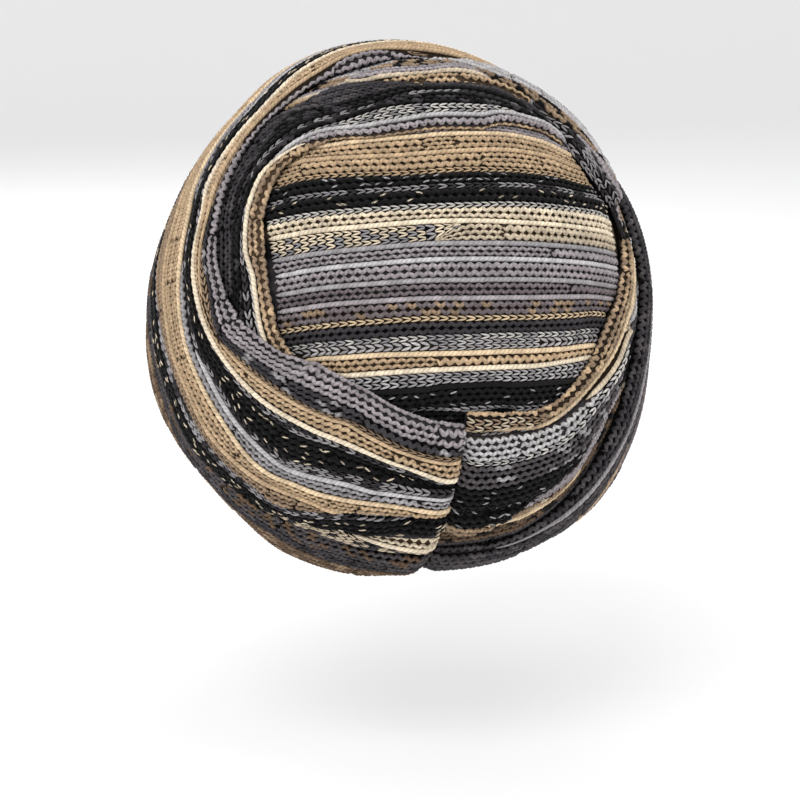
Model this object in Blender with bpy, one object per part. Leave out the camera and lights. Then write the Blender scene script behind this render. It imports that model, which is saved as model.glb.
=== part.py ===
"""Turban headwrap: a knitted cap with wound, folded wraps of the same cloth.

The wearer faces -Y and Z is up. The origin lies in the plane of the head
opening, straight below the middle of the wound form.

Places on the headwrap are given by two angles. The ring angle runs round the
crown panel: 0 at the nape, 90 on the wearer's left, 180 over the top. The fall
angle runs from the middle of the crown panel out to the rim. Heights are
measured from the wound form, in shares of FOLD_BULK, inward as minus.
"""
import bpy
import numpy as np

# Driving sizes, in metres
HALF_WIDTH = 0.1065
HALF_DEPTH = 0.1200
CROWN_RISE = 0.1105
SKIRT_DROP = 0.1180
MIDDLE_LIFT = 0.0530
FOLD_BULK = 0.0100
CAP_WALL = 0.0024
WRAP_WALL = 0.0020
LAYER_GAP = 0.0009
EDGE_ROUND = 0.0095
SEAM_ROUND = 0.0085
HEM_ROUND = 0.0130

# Driving angles, in degrees
CROWN_TILT = 16.0
RIM_SLOPE = 30.1
SEAM_ANGLE = 4.7
SEAM_GAP = 0.30
SEAM_LEFT = SEAM_ANGLE + SEAM_GAP
SEAM_RIGHT = SEAM_ANGLE - SEAM_GAP

# Shape numbers without a size
UPPER_POWER = 2.0
LOWER_POWER = 2.5
SEAM_DROP = 0.50
BLEND = 3.0
OPEN = 9.0

# The lattice on which the layers are pressed together
RING_STEP = 1.0
FALL_STEP = 0.5
FALL_END = 172.0
CLEAR_CELLS = (7, 6)
SOFT_CELLS = (3, 3)


# Cells across each lobe of the left outer wrap, from the crown to the rim
LOBE_CELLS = (5, 4, 3, 4, 5)

# Cells of the cap from its middle to the rim, closer together round the crown panel's edge
CAP_CELLS = (4, 1, 1, 1, 7)


def table(names, *values):
    """Return a short table as one array for each named column."""
    grid = np.array(values, dtype=float)
    return {name: grid[:, k] for k, name in enumerate(names.split())}


# Extra fall of the rim below the opening plane, in degrees
RIM_HANG = table(
    "ring    fall",
    (-180,  0.0),
    (-70,   0.0),
    (-45,   2.5),
    (-22,   5.0),
    (-10,   8.0),
    (4,     9.0),
    (10,   11.5),
    (20,   15.0),
    (30,   14.0),
    (40,    8.5),
    (52,    3.0),
    (70,    0.0),
    (180,   0.0),
)

# Where the crown panel ends and how high the cap stands there
CROWN_EDGE = table(
    "ring   fall  height",
    (-180,  35.0, -0.56),
    (-150,  42.0, -0.56),
    (-125,  46.0, -0.58),
    (-110,  51.0, -0.60),
    (-98,   50.0, -0.64),
    (-85,   44.0, -0.70),
    (-70,   39.0, -0.80),
    (-50,   38.0, -0.88),
    (0,     33.0, -0.92),
    (60,    41.0, -0.92),
    (90,    47.0, -0.84),
    (125,   50.0, -0.72),
    (150,   37.0, -0.60),
    (180,   35.0, -0.56),
)
CAP_MIDDLE = -0.80
CAP_UNDER = -1.45
CAP_RIM = -1.95

LEFT_OUTER = table(
    "ring   inner  crest  lip_in  lip_out",
    (SEAM_LEFT,  34.2, -0.16, -0.60, -1.35),
    (20,    34.0, -0.08, -0.58, -1.35),
    (30,    34.4, -0.06, -0.56, -1.35),
    (40,    34.9, -0.05, -0.54, -1.35),
    (50,    36.9, -0.04, -0.50, -1.35),
    (60,    40.5, -0.03, -0.42, -1.40),
    (70,    47.0, -0.03, -0.30, -1.35),
    (83,    54.8, -0.05, -0.22, -1.35),
    (92,    59.0, -0.12, -0.28, -1.35),
    (101,   62.6, -0.26, -0.40, -1.35),
    (121,   66.0, -0.54, -0.60, -1.40),
    (140,   68.0, -0.52, -0.60, -0.90),
    (157,   67.0, -0.14, -0.42, -0.60),
    (168,   65.0, -0.02, -0.36, -0.55),
    (180,   67.0, -0.04, -0.36, -0.55),
    (200,   69.0, -0.16, -0.42, -0.55),
    (215,   71.0, -0.26, -0.46, -0.58),
    (228,   72.0, -0.34, -0.52, -0.62),
    (236,   72.4, -0.48, -0.60, -0.68),
)

LEFT_INNER = table(
    "ring   inner  outer  crest  lip_in  lip_out",
    (60,    47.7,  53.0, -0.70, -0.80, -0.90),
    (72,    50.9,  60.0, -0.38, -0.56, -0.80),
    (90.6,  50.1,  70.0, -0.24, -0.44, -0.80),
    (101,   52.5,  72.0, -0.24, -0.42, -0.80),
    (111,   53.8,  74.0, -0.26, -0.42, -0.80),
    (121,   54.0,  75.0, -0.32, -0.42, -0.84),
    (136,   49.2,  70.0, -0.36, -0.44, -0.80),
    (146,   42.6,  65.6, -0.37, -0.44, -0.72),
    (152,   39.0,  61.0, -0.37, -0.44, -0.60),
    (162,   36.6,  53.8, -0.34, -0.42, -0.46),
    (172,   35.6,  48.6, -0.30, -0.42, -0.42),
    (181,   35.4,  45.8, -0.28, -0.40, -0.40),
    (191,   36.0,  47.5, -0.26, -0.40, -0.38),
    (201,   39.5,  48.9, -0.26, -0.40, -0.36),
    (211,   42.6,  48.4, -0.28, -0.40, -0.36),
    (219,   45.6,  47.6, -0.34, -0.40, -0.38),
)

RIGHT_WRAP = table(
    "ring   inner  outer  crest  lip_in  lip_out",
    (-220,  71.5,  80.0, -0.86, -0.92, -0.98),
    (-210,  64.0,  78.5, -0.58, -0.66, -0.92),
    (-198,  55.0,  77.0, -0.34, -0.42, -0.86),
    (-188,  49.5,  76.0, -0.22, -0.36, -0.84),
    (-179,  46.7,  76.0, -0.14, -0.32, -0.84),
    (-169,  48.4,  77.0, -0.09, -0.30, -0.84),
    (-159,  49.8,  78.0, -0.05, -0.28, -0.84),
    (-149,  49.3,  79.0, -0.04, -0.26, -0.84),
    (-137,  47.6,  80.0, -0.04, -0.26, -0.84),
    (-129,  44.6,  79.0, -0.04, -0.27, -0.84),
    (-122,  44.3,  78.0, -0.04, -0.28, -0.84),
    (-115,  47.6,  76.0, -0.04, -0.28, -0.84),
    (-105,  52.6,  71.0, -0.04, -0.26, -0.84),
    (-98,   52.2,  68.0, -0.04, -0.26, -0.84),
    (-91,   50.2,  65.0, -0.04, -0.28, -0.86),
    (-81,   48.0,  62.5, -0.05, -0.34, -0.90),
    (-72,   45.6,  61.0, -0.06, -0.40, -0.95),
    (-62,   43.2,  60.5, -0.06, -0.44, -1.00),
    (-52,   41.1,  61.0, -0.06, -0.48, -1.05),
    (-42,   39.7,  63.0, -0.08, -0.50, -1.10),
    (-32,   38.8,  66.0, -0.10, -0.52, -1.15),
    (-22,   37.9,  69.0, -0.12, -0.53, -1.25),
    (-12,   35.8,  70.5, -0.16, -0.54, -1.30),
    (SEAM_RIGHT,  35.3,  70.5, -0.22, -0.56, -1.35),
)

RIGHT_LOWER = table(
    "ring   inner  crest  lip_in  lip_out",
    (-256,  130.0, -1.10, -1.25, -1.45),
    (-245,  124.5, -0.75, -1.05, -1.45),
    (-230,  122.5, -0.42, -0.72, -1.40),
    (-210,  117.0, -0.24, -0.58, -1.35),
    (-195,  112.5, -0.20, -0.55, -1.30),
    (-180,  109.0, -0.18, -0.55, -1.30),
    (-165,  102.0, -0.16, -0.55, -1.30),
    (-150,  93.0,  -0.14, -0.55, -1.30),
    (-135,  83.0,  -0.12, -0.52, -1.30),
    (-120,  73.0,  -0.08, -0.44, -1.35),
    (-105,  64.0,  -0.04, -0.34, -1.35),
    (-90,   58.0,  -0.02, -0.24, -1.40),
    (-76,   55.5,  -0.02, -0.22, -1.45),
    (-61,   54.0,  -0.02, -0.24, -1.50),
    (-51,   54.7,  -0.03, -0.28, -1.50),
    (-41,   56.8,  -0.06, -0.32, -1.50),
    (-32,   60.2,  -0.12, -0.36, -1.50),
    (-22,   63.9,  -0.18, -0.42, -1.45),
    (-12,   65.6,  -0.22, -0.48, -1.40),
    (SEAM_RIGHT,  65.6,  -0.28, -0.56, -1.40),
)

LEFT_ROLL = table(
    "ring   inner  outer  crest  lip_in  lip_out",
    (58,    44.0,  47.0, -0.76, -0.82, -0.84),
    (66,    45.0,  48.8, -0.46, -0.70, -0.70),
    (75,    45.8,  50.0, -0.30, -0.60, -0.54),
    (91,    46.0,  49.3, -0.28, -0.56, -0.50),
    (101,   47.2,  51.7, -0.30, -0.54, -0.48),
    (111,   49.4,  53.0, -0.32, -0.52, -0.46),
    (121,   50.2,  53.2, -0.34, -0.50, -0.45),
    (130,   48.0,  51.0, -0.34, -0.48, -0.44),
    (138,   44.2,  47.4, -0.35, -0.46, -0.43),
    (152,   35.0,  38.2, -0.36, -0.44, -0.42),
    (167,   31.9,  35.1, -0.35, -0.42, -0.40),
    (182,   31.2,  34.6, -0.34, -0.42, -0.39),
    (192,   31.8,  35.3, -0.34, -0.42, -0.39),
    (201,   35.4,  38.7, -0.34, -0.42, -0.39),
    (211,   38.9,  41.8, -0.35, -0.42, -0.39),
    (219,   42.2,  44.8, -0.36, -0.42, -0.39),
    (226,   43.6,  45.2, -0.38, -0.42, -0.40),
)

RIGHT_ROLL = table(
    "ring   inner  outer  crest  lip_in  lip_out",
    (-99,   49.4,  51.4, -0.38, -0.40, -0.38),
    (-91,   46.0,  49.4, -0.31, -0.44, -0.38),
    (-82,   42.4,  47.5, -0.32, -0.50, -0.42),
    (-73,   39.4,  45.1, -0.34, -0.56, -0.46),
    (-63,   38.0,  42.7, -0.36, -0.62, -0.50),
    (-53,   37.4,  40.5, -0.38, -0.64, -0.54),
    (-43,   36.6,  39.0, -0.41, -0.64, -0.58),
    (-33,   36.0,  38.1, -0.43, -0.64, -0.58),
    (-22,   34.2,  37.1, -0.44, -0.64, -0.58),
    (-12,   32.2,  35.0, -0.44, -0.64, -0.58),
    (SEAM_RIGHT,  31.4,  34.5, -0.44, -0.64, -0.58),
)

NAPE_STRIP = table(
    "ring   inner  outer  crest  lip_in  lip_out",
    (0.6,   39.0,  67.0, -1.06, -1.08, -1.12),
    (8.8,   39.0,  67.0, -1.06, -1.08, -1.12),
)

# Creases: where each runs, how deep it is and how far it reaches each way
LEFT_CREASES = (
    table("ring   fall  depth  above  below",
          (SEAM_LEFT,  46.0,  0.66,  3.6,  2.2),
          (20,    45.4,  0.48,  3.8,  3.0),
          (32,    46.6,  0.30,  4.0,  4.0),
          (50,    52.8,  0.15,  4.0,  5.0),
          (75,    64.6,  0.10,  4.0,  5.0),
          (100,   70.0,  0.06,  4.0,  5.0),
          (125,   72.0,  0.00,  4.0,  5.0)),
    table("ring   fall  depth  above  below",
          (SEAM_LEFT,  53.4,  0.66,  2.8,  2.4),
          (15,    54.4,  0.46,  3.0,  2.8),
          (25,    57.6,  0.26,  3.2,  3.2),
          (36,    62.0,  0.12,  3.6,  4.0),
          (55,    70.0,  0.06,  4.0,  4.0),
          (80,    78.0,  0.00,  4.0,  4.0)),
    table("ring   fall  depth  above  below",
          (SEAM_LEFT,  59.6,  0.46,  2.6,  2.2),
          (14,    60.2,  0.30,  2.6,  2.4),
          (24,    62.4,  0.12,  2.6,  2.6),
          (36,    66.6,  0.00,  2.6,  2.6)),
    table("ring   fall  depth  above  below",
          (SEAM_LEFT,  65.2,  0.60,  2.4,  2.6),
          (14,    65.8,  0.44,  2.6,  3.0),
          (24,    67.4,  0.24,  3.0,  3.2),
          (38,    71.6,  0.10,  3.4,  4.0),
          (55,    80.0,  0.06,  4.0,  4.0),
          (80,    88.0,  0.00,  4.0,  4.0)),
    table("ring   fall  depth  above  below",
          (60,    86.0,  0.00,  5.0,  5.0),
          (85,    96.0,  0.14,  5.0,  5.0),
          (130,   98.0,  0.22,  6.0,  6.0),
          (180,   90.0,  0.24,  6.0,  6.0),
          (210,   80.0,  0.16,  5.0,  5.0),
          (228,   75.0,  0.00,  4.0,  4.0)),
)

RIGHT_CREASES = (
    table("ring   fall  depth  above  below",
          (-75,   52.0,  0.00,  3.0,  3.0),
          (-55,   48.4,  0.08,  3.4,  3.0),
          (-36,   49.3,  0.16,  3.6,  2.8),
          (-19,   51.5,  0.32,  3.6,  2.6),
          (SEAM_RIGHT,  51.8,  0.56,  3.6,  2.6)),
    table("ring   fall  depth  above  below",
          (-100,  58.0,  0.00,  3.0,  3.0),
          (-75,   50.0,  0.08,  3.0,  3.0),
          (-40,   43.4,  0.12,  3.0,  3.0),
          (SEAM_RIGHT,  42.0,  0.12,  3.0,  3.0)),
)

LOWER_CREASES = (
    table("ring   fall  depth  above  below",
          (-232,  128.0, 0.00,   6.0,  5.0),
          (-210,  125.0, 0.34,   8.0,  6.0),
          (-180,  123.0, 0.50,  10.0,  8.0),
          (-140,  104.0, 0.46,  11.0,  9.0),
          (-100,  79.0,  0.26,   9.0,  8.0),
          (-60,   67.0,  0.14,   6.0,  6.0),
          (-20,   71.0,  0.00,   3.0,  3.0)),
    table("ring   fall  depth  above  below",
          (-225,  140.0, 0.00,   6.0,  5.0),
          (-195,  138.0, 0.36,   7.0,  7.0),
          (-160,  131.0, 0.44,   9.0,  8.0),
          (-120,  107.0, 0.38,  10.0,  9.0),
          (-80,   86.0,  0.20,   9.0,  8.0),
          (-50,   77.0,  0.00,   5.0,  5.0)),
)

NO_CREASES = ()


def read(rows, name, at):
    """Return one column of a table at any value of its first column."""
    xs = rows["ring"]
    ys = rows[name]
    width = np.diff(xs)
    slope = np.diff(ys) / width
    inner = np.zeros_like(ys)
    same = slope[:-1] * slope[1:] > 0
    safe = np.where(same, slope[:-1] + slope[1:], 1.0)
    inner[1:-1] = np.where(same, 2 * slope[:-1] * slope[1:] / safe, 0.0)
    at = np.clip(at, xs[0], xs[-1])
    k = np.clip(np.searchsorted(xs, at, side="right") - 1, 0, len(xs) - 2)
    t = (at - xs[k]) / width[k]
    rise = width[k] * (inner[k] * (t - 2 * t**2 + t**3) + inner[k + 1] * (t**3 - t**2))
    return ys[k] * (1 - 3 * t**2 + 2 * t**3) + ys[k + 1] * (3 * t**2 - 2 * t**3) + rise


def direction(ring, fall):
    """Return the unit directions of places given by ring and fall angles."""
    tilt = np.radians(CROWN_TILT)
    middle = np.array((0.0, np.cos(tilt), np.sin(tilt)))
    down = np.array((0.0, np.sin(tilt), -np.cos(tilt)))
    left = np.array((1.0, 0.0, 0.0))
    ring = np.radians(ring)[..., None]
    fall = np.radians(fall)[..., None]
    return np.cos(fall) * middle + np.sin(fall) * (np.cos(ring) * down + np.sin(ring) * left)


def form_radius(way):
    """Return the distance from the middle to the wound form along each direction."""
    above = way[..., 2] > 0
    reach = np.where(above, CROWN_RISE, SKIRT_DROP)
    power = np.where(above, UPPER_POWER, LOWER_POWER)
    flat = np.hypot(way[..., 0] / HALF_WIDTH, way[..., 1] / HALF_DEPTH)
    return (flat**power + np.abs(way[..., 2] / reach)**power)**(-1 / power)


def place(ring, fall, height):
    """Return points at a height over the wound form, in metres."""
    way = direction(ring, fall)
    points = way * (form_radius(way) + height)[..., None]
    points[..., 2] += MIDDLE_LIFT
    return points


def rim_fall(ring):
    """Return the fall angle of the rim: where the form meets the opening plane."""
    ring = np.asarray(ring, dtype=float)
    low = np.full(ring.shape, 45.0)
    high = np.full(ring.shape, 170.0)
    slope = np.tan(np.radians(RIM_SLOPE))
    for _ in range(28):
        mid = (low + high) / 2
        point = place(ring, mid, np.zeros(ring.shape))
        over = point[..., 2] + slope * point[..., 1] > 0
        low = np.where(over, mid, low)
        high = np.where(over, high, mid)
    turned = (ring + 180) % 360 - 180
    return low + read(RIM_HANG, "fall", turned)


def rounded(share):
    """Return how far a round edge has dropped, 1 at the edge and 0 inside."""
    back = 1 - np.clip(share, 0, 1)
    return 1 - np.sqrt(np.clip(1 - back**2, 0, 1))


def crease_drop(creases, ring, fall):
    """Return how deep the creases of a wrap cut at each place, in FOLD_BULK."""
    drop = np.zeros(ring.shape)
    for rows in creases:
        away = fall - read(rows, "fall", ring)
        reach = np.where(away < 0, read(rows, "above", ring), read(rows, "below", ring))
        drop = drop + read(rows, "depth", ring) * rounded(np.abs(away) / reach)
    return drop


class Wrap:
    """A strip of cloth wound round the crown, between an inner and an outer edge.

    Args:
        name: node name of the piece.
        rows: its table of stations along the ring angle.
        creases: tables of the creases across it.
        under: names of the wraps that lie on it.
        ends: which ends are rounded down, as a pair of booleans.
        cells: how many cells the mesh has along and across.
        crowd: how much closer the stations stand at the seam.
    """

    def __init__(self, name, rows, creases, under, ends, cells, crowd=1.0):
        self.name = name
        self.rows = rows
        self.creases = creases
        self.under = under
        self.ends = ends
        self.cells = cells
        self.crowd = crowd

    def turn(self, ring):
        """Return ring angles in the run of angles that this wrap uses."""
        middle = (self.rows["ring"][0] + self.rows["ring"][-1]) / 2
        return (np.asarray(ring, dtype=float) - middle + 180) % 360 - 180 + middle

    def edges(self, ring):
        """Return the fall angles of both edges."""
        inner = read(self.rows, "inner", ring)
        if "outer" in self.rows:
            return inner, read(self.rows, "outer", ring)
        outer = rim_fall(ring)
        if self.name == "left_outer_wrap":
            outer = np.minimum(outer, tail_edge(ring))
        return inner, np.maximum(outer, inner + 1.5)

    def height(self, ring, fall):
        """Return the height of the outer face before other wraps press on it."""
        ring = self.turn(ring)
        inner, outer = self.edges(ring)
        arc = np.radians(1.0) * form_radius(direction(ring, fall))
        crest = read(self.rows, "crest", ring)
        lip_in = np.minimum(read(self.rows, "lip_in", ring), crest)
        lip_out = np.minimum(read(self.rows, "lip_out", ring), crest)
        half = (outer - inner) * arc / 2
        round_in = np.minimum(EDGE_ROUND, half)
        hem = "outer" not in self.rows
        round_out = np.minimum(HEM_ROUND if hem else EDGE_ROUND, half)
        drops = [
            crease_drop(self.creases, ring, fall),
            (crest - lip_in) * rounded((fall - inner) * arc / round_in),
            (crest - lip_out) * rounded((outer - fall) * arc / round_out),
        ]
        first, last = self.rows["ring"][0], self.rows["ring"][-1]
        run = arc * np.sin(np.radians(fall))
        if self.ends[0]:
            drops.append(SEAM_DROP * rounded((ring - first) * run / SEAM_ROUND))
        if self.ends[1]:
            drops.append(SEAM_DROP * rounded((last - ring) * run / SEAM_ROUND))
        return crest - sum(drop**BLEND for drop in drops)**(1 / BLEND)

    def covers(self, ring, fall):
        """Return where the wrap lies."""
        ring = self.turn(ring)
        inner, outer = self.edges(ring)
        along = (ring >= self.rows["ring"][0]) & (ring <= self.rows["ring"][-1])
        return along & (fall >= inner) & (fall <= outer)


def tail_edge(ring):
    """Return the outer edge of the left outer wrap where it crosses the brow."""
    brow = Wrap("right_lower_wrap", RIGHT_LOWER, NO_CREASES, (), (False, False), (1, 1))
    inner = read(RIGHT_LOWER, "inner", brow.turn(ring))
    gap = np.degrees(2.2 * LAYER_GAP / HALF_WIDTH)
    crossing = (np.asarray(ring) > 100)
    return np.where(crossing, inner - gap, 999.0)


class Cap:
    """The knitted cap under the wraps, open below for the head."""

    name = "crown_cap"

    def height(self, ring, fall):
        """Return the height of its outer face before the wraps press on it."""
        ring = (np.asarray(ring, dtype=float) + 180) % 360 - 180
        edge = read(CROWN_EDGE, "fall", ring)
        rise = read(CROWN_EDGE, "height", ring)
        inside = CAP_MIDDLE + (rise - CAP_MIDDLE) * np.clip(fall / edge, 0, 1)**2
        rim = rim_fall(ring)
        sink = smooth((fall - edge - 1.0) / 9.0)
        tuck = smooth((fall - rim + 24.0) / 24.0)
        under = CAP_UNDER + (CAP_RIM - CAP_UNDER) * tuck
        return inside + (under - inside) * np.maximum(sink, tuck)

    def covers(self, ring, fall):
        """Return where the cap lies."""
        return fall <= rim_fall(ring)


def smooth(share):
    """Return a soft step from 0 to 1."""
    share = np.clip(share, 0, 1)
    return share * share * (3 - 2 * share)


def spread(values, cells, pick):
    """Return each lattice value replaced by the picked one of its neighbours."""
    out = values
    for step in range(1, cells[0] + 1):
        out = pick(out, pick(np.roll(values, step, axis=0), np.roll(values, -step, axis=0)))
    values = out
    for step in range(1, cells[1] + 1):
        up = np.concatenate((values[:, step:], np.repeat(values[:, -1:], step, axis=1)), axis=1)
        down = np.concatenate((np.repeat(values[:, :1], step, axis=1), values[:, :-step]), axis=1)
        out = pick(out, pick(up, down))
    return out


def soften(values, cells):
    """Return lattice values averaged with their neighbours."""
    total = values.copy()
    for step in range(1, cells[0] + 1):
        total = total + np.roll(values, step, axis=0) + np.roll(values, -step, axis=0)
    values = total / (2 * cells[0] + 1)
    total = values.copy()
    for step in range(1, cells[1] + 1):
        up = np.concatenate((values[:, step:], np.repeat(values[:, -1:], step, axis=1)), axis=1)
        down = np.concatenate((np.repeat(values[:, :1], step, axis=1), values[:, :-step]), axis=1)
        total = total + up + down
    return total / (2 * cells[1] + 1)


class Stack:
    """All layers pressed together on one lattice of ring and fall angles."""

    def __init__(self, cap, wraps):
        self.cap = cap
        self.wraps = wraps
        self.ring = np.arange(-180.0, 180.0, RING_STEP)
        self.fall = np.arange(0.0, FALL_END, FALL_STEP)
        self.grid = np.meshgrid(self.ring, self.fall, indexing="ij")
        self.outer = {}
        self.press = {}
        self.floor = {}
        self.press_down()
        self.lift_floors()

    def press_down(self):
        """Work out from the top down how far each layer is pressed in."""
        wall = (WRAP_WALL + LAYER_GAP) / FOLD_BULK
        wide = tuple(a + b for a, b in zip(CLEAR_CELLS, SOFT_CELLS))
        for layer in list(self.wraps) + [self.cap]:
            own = layer.height(*self.grid)
            ceiling = np.full(own.shape, OPEN)
            for upper in self.uppers(layer):
                there = upper.covers(*self.grid)
                low = np.where(there, self.outer[upper.name] - wall, OPEN)
                ceiling = np.minimum(ceiling, spread(low, CLEAR_CELLS, np.minimum))
            need = np.maximum(own - ceiling, 0.0)
            fading = own - soften(spread(need, wide, np.maximum), SOFT_CELLS)
            lowest = np.minimum(own, spread(ceiling, wide, np.minimum))
            self.outer[layer.name] = np.maximum(fading, lowest)
            self.press[layer.name] = own - self.outer[layer.name]

    def uppers(self, layer):
        """Return the wraps that lie on a layer."""
        if layer is self.cap:
            return self.wraps
        return [wrap for wrap in self.wraps if wrap.name in layer.under]

    def lift_floors(self):
        """Work out for each wrap the lowest level that clears the layers below."""
        gap = LAYER_GAP / FOLD_BULK
        for wrap in self.wraps:
            floor = spread(self.outer["crown_cap"], CLEAR_CELLS, np.maximum)
            for lower in self.wraps:
                if wrap.name not in lower.under:
                    continue
                there = lower.covers(*self.grid)
                high = np.where(there, self.outer[lower.name], -OPEN)
                floor = np.maximum(floor, spread(high, CLEAR_CELLS, np.maximum))
            self.floor[wrap.name] = floor + gap

    def look_up(self, values, ring, fall):
        """Return lattice values between its points."""
        x = ((np.asarray(ring, dtype=float) + 180) % 360) / RING_STEP
        y = np.clip(np.asarray(fall, dtype=float) / FALL_STEP, 0, values.shape[1] - 1.001)
        i = np.floor(x).astype(int)
        j = np.floor(y).astype(int)
        u, v = x - i, y - j
        i, k = i % len(self.ring), (i + 1) % len(self.ring)
        near = values[i, j] * (1 - v) + values[i, j + 1] * v
        far = values[k, j] * (1 - v) + values[k, j + 1] * v
        return near * (1 - u) + far * u

    def outer_at(self, layer, ring, fall):
        """Return the outer height of a layer at any place, in metres."""
        high = layer.height(ring, fall) - self.look_up(self.press[layer.name], ring, fall)
        return high * FOLD_BULK

    def inner_at(self, wrap, ring, fall):
        """Return the inner height of a wrap at any place, in metres."""
        return self.look_up(self.floor[wrap.name], ring, fall) * FOLD_BULK


def mesh_object(name, points, faces, colour):
    """Make one object with its own material from points and faces."""
    mesh = bpy.data.meshes.new(name)
    mesh.from_pydata([tuple(p) for p in points], [], faces)
    mesh.update()
    thing = bpy.data.objects.new(name, mesh)
    bpy.context.collection.objects.link(thing)
    material = bpy.data.materials.new(name + "_knit")
    material.use_nodes = True
    shader = material.node_tree.nodes["Principled BSDF"]
    shader.inputs["Base Color"].default_value = colour + (1.0,)
    shader.inputs["Roughness"].default_value = 0.9
    mesh.materials.append(material)
    return thing


def shell_faces(along, across):
    """Return the faces of a closed strip: outer face, inner face and four sides."""
    def outer(i, j):
        return i * (across + 1) + j

    def inner(i, j):
        return (along + 1) * (across + 1) + outer(i, j)

    faces = []
    for i in range(along):
        for j in range(across):
            faces.append((outer(i, j), outer(i + 1, j), outer(i + 1, j + 1), outer(i, j + 1)))
            faces.append((inner(i, j), inner(i, j + 1), inner(i + 1, j + 1), inner(i + 1, j)))
    for i in range(along):
        faces.append((outer(i, 0), inner(i, 0), inner(i + 1, 0), outer(i + 1, 0)))
        faces.append((outer(i, across), outer(i + 1, across), inner(i + 1, across), inner(i, across)))
    for j in range(across):
        faces.append((outer(0, j), outer(0, j + 1), inner(0, j + 1), inner(0, j)))
        faces.append((outer(along, j), inner(along, j), inner(along, j + 1), outer(along, j + 1)))
    return faces


def lobe_steps(ring, inner, outer, share):
    """Return shares across the left outer wrap that follow its creases near the seam."""
    marks = [np.zeros(ring.shape)]
    for rows in LEFT_CREASES[:4]:
        marks.append((read(rows, "fall", ring) - inner) / (outer - inner))
    marks.append(np.ones(ring.shape))
    marks = np.stack(marks, axis=1)
    known = np.cumsum((0,) + LOBE_CELLS) / sum(LOBE_CELLS)
    lined = np.array([np.interp(np.linspace(0, 1, share.shape[1]), known, row) for row in marks])
    follow = 1 - smooth((ring[:, None] - 35.0) / 25.0)
    return share + (lined - share) * follow


def build_wrap(stack, wrap, colour):
    """Model one wrap as a closed strip between its floor and its outer face."""
    along, across = wrap.cells
    first, last = wrap.rows["ring"][0], wrap.rows["ring"][-1]
    share = np.linspace(0, 1, along + 1)
    if first > 0:
        ring = first + (last - first) * share**wrap.crowd
    else:
        ring = last + (first - last) * share[::-1]**wrap.crowd
    step = np.linspace(0, 1, across + 1)
    step = step - 0.045 * np.sin(2 * np.pi * step)
    inner, outer = wrap.edges(ring)
    share = np.broadcast_to(step, (along + 1, across + 1))
    if wrap.name == "left_outer_wrap":
        share = lobe_steps(ring, inner, outer, share)
    fall = inner[:, None] + (outer - inner)[:, None] * share
    ring = np.broadcast_to(ring[:, None], fall.shape)
    low = stack.inner_at(wrap, ring, fall)
    high = np.maximum(stack.outer_at(wrap, ring, fall), low + WRAP_WALL)
    points = np.concatenate((place(ring, fall, high).reshape(-1, 3),
                             place(ring, fall, low).reshape(-1, 3)))
    return mesh_object(wrap.name, points, shell_faces(along, across), colour)


def build_cap(stack, colour, around=46, rings=sum(CAP_CELLS)):
    """Model the cap as a closed shell with one pole and an open rim."""
    ring = np.linspace(-180, 180, around + 1)[:-1]
    rim = rim_fall(ring) - 1.2
    edge = read(CROWN_EDGE, "fall", ring)
    marks = np.stack((0 * edge, edge - 4.5, edge - 1.0, edge + 2.5, edge + 7.0, rim), axis=1)
    known = np.cumsum((0,) + CAP_CELLS) / sum(CAP_CELLS)
    share = np.linspace(0, 1, rings + 1)[1:]
    fall = np.array([np.interp(share, known, row) for row in marks])
    ring = np.broadcast_to(ring[:, None], fall.shape)
    high = stack.outer_at(stack.cap, ring, fall)
    pole = stack.outer_at(stack.cap, np.zeros(1), np.zeros(1))
    outer = place(ring, fall, high)
    inner = place(ring, fall, high - CAP_WALL)
    tops = np.concatenate((place(np.zeros(1), np.zeros(1), pole),
                           place(np.zeros(1), np.zeros(1), pole - CAP_WALL)))
    points = np.concatenate((outer.reshape(-1, 3), inner.reshape(-1, 3), tops))
    return mesh_object("crown_cap", points, cap_faces(around, rings), colour)


def cap_faces(around, rings):
    """Return the faces of the cap shell."""
    half = around * rings
    faces = []
    for i in range(around):
        k = (i + 1) % around
        faces.append((2 * half, k * rings, i * rings))
        faces.append((2 * half + 1, half + i * rings, half + k * rings))
        for j in range(rings - 1):
            a, b = i * rings + j, k * rings + j
            faces.append((a, b, b + 1, a + 1))
            faces.append((half + a, half + a + 1, half + b + 1, half + b))
        a, b = i * rings + rings - 1, k * rings + rings - 1
        faces.append((a, b, half + b, half + a))
    return faces


def clear_scene():
    """Remove what the scene starts with."""
    for thing in list(bpy.data.objects):
        bpy.data.objects.remove(thing, do_unlink=True)


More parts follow.
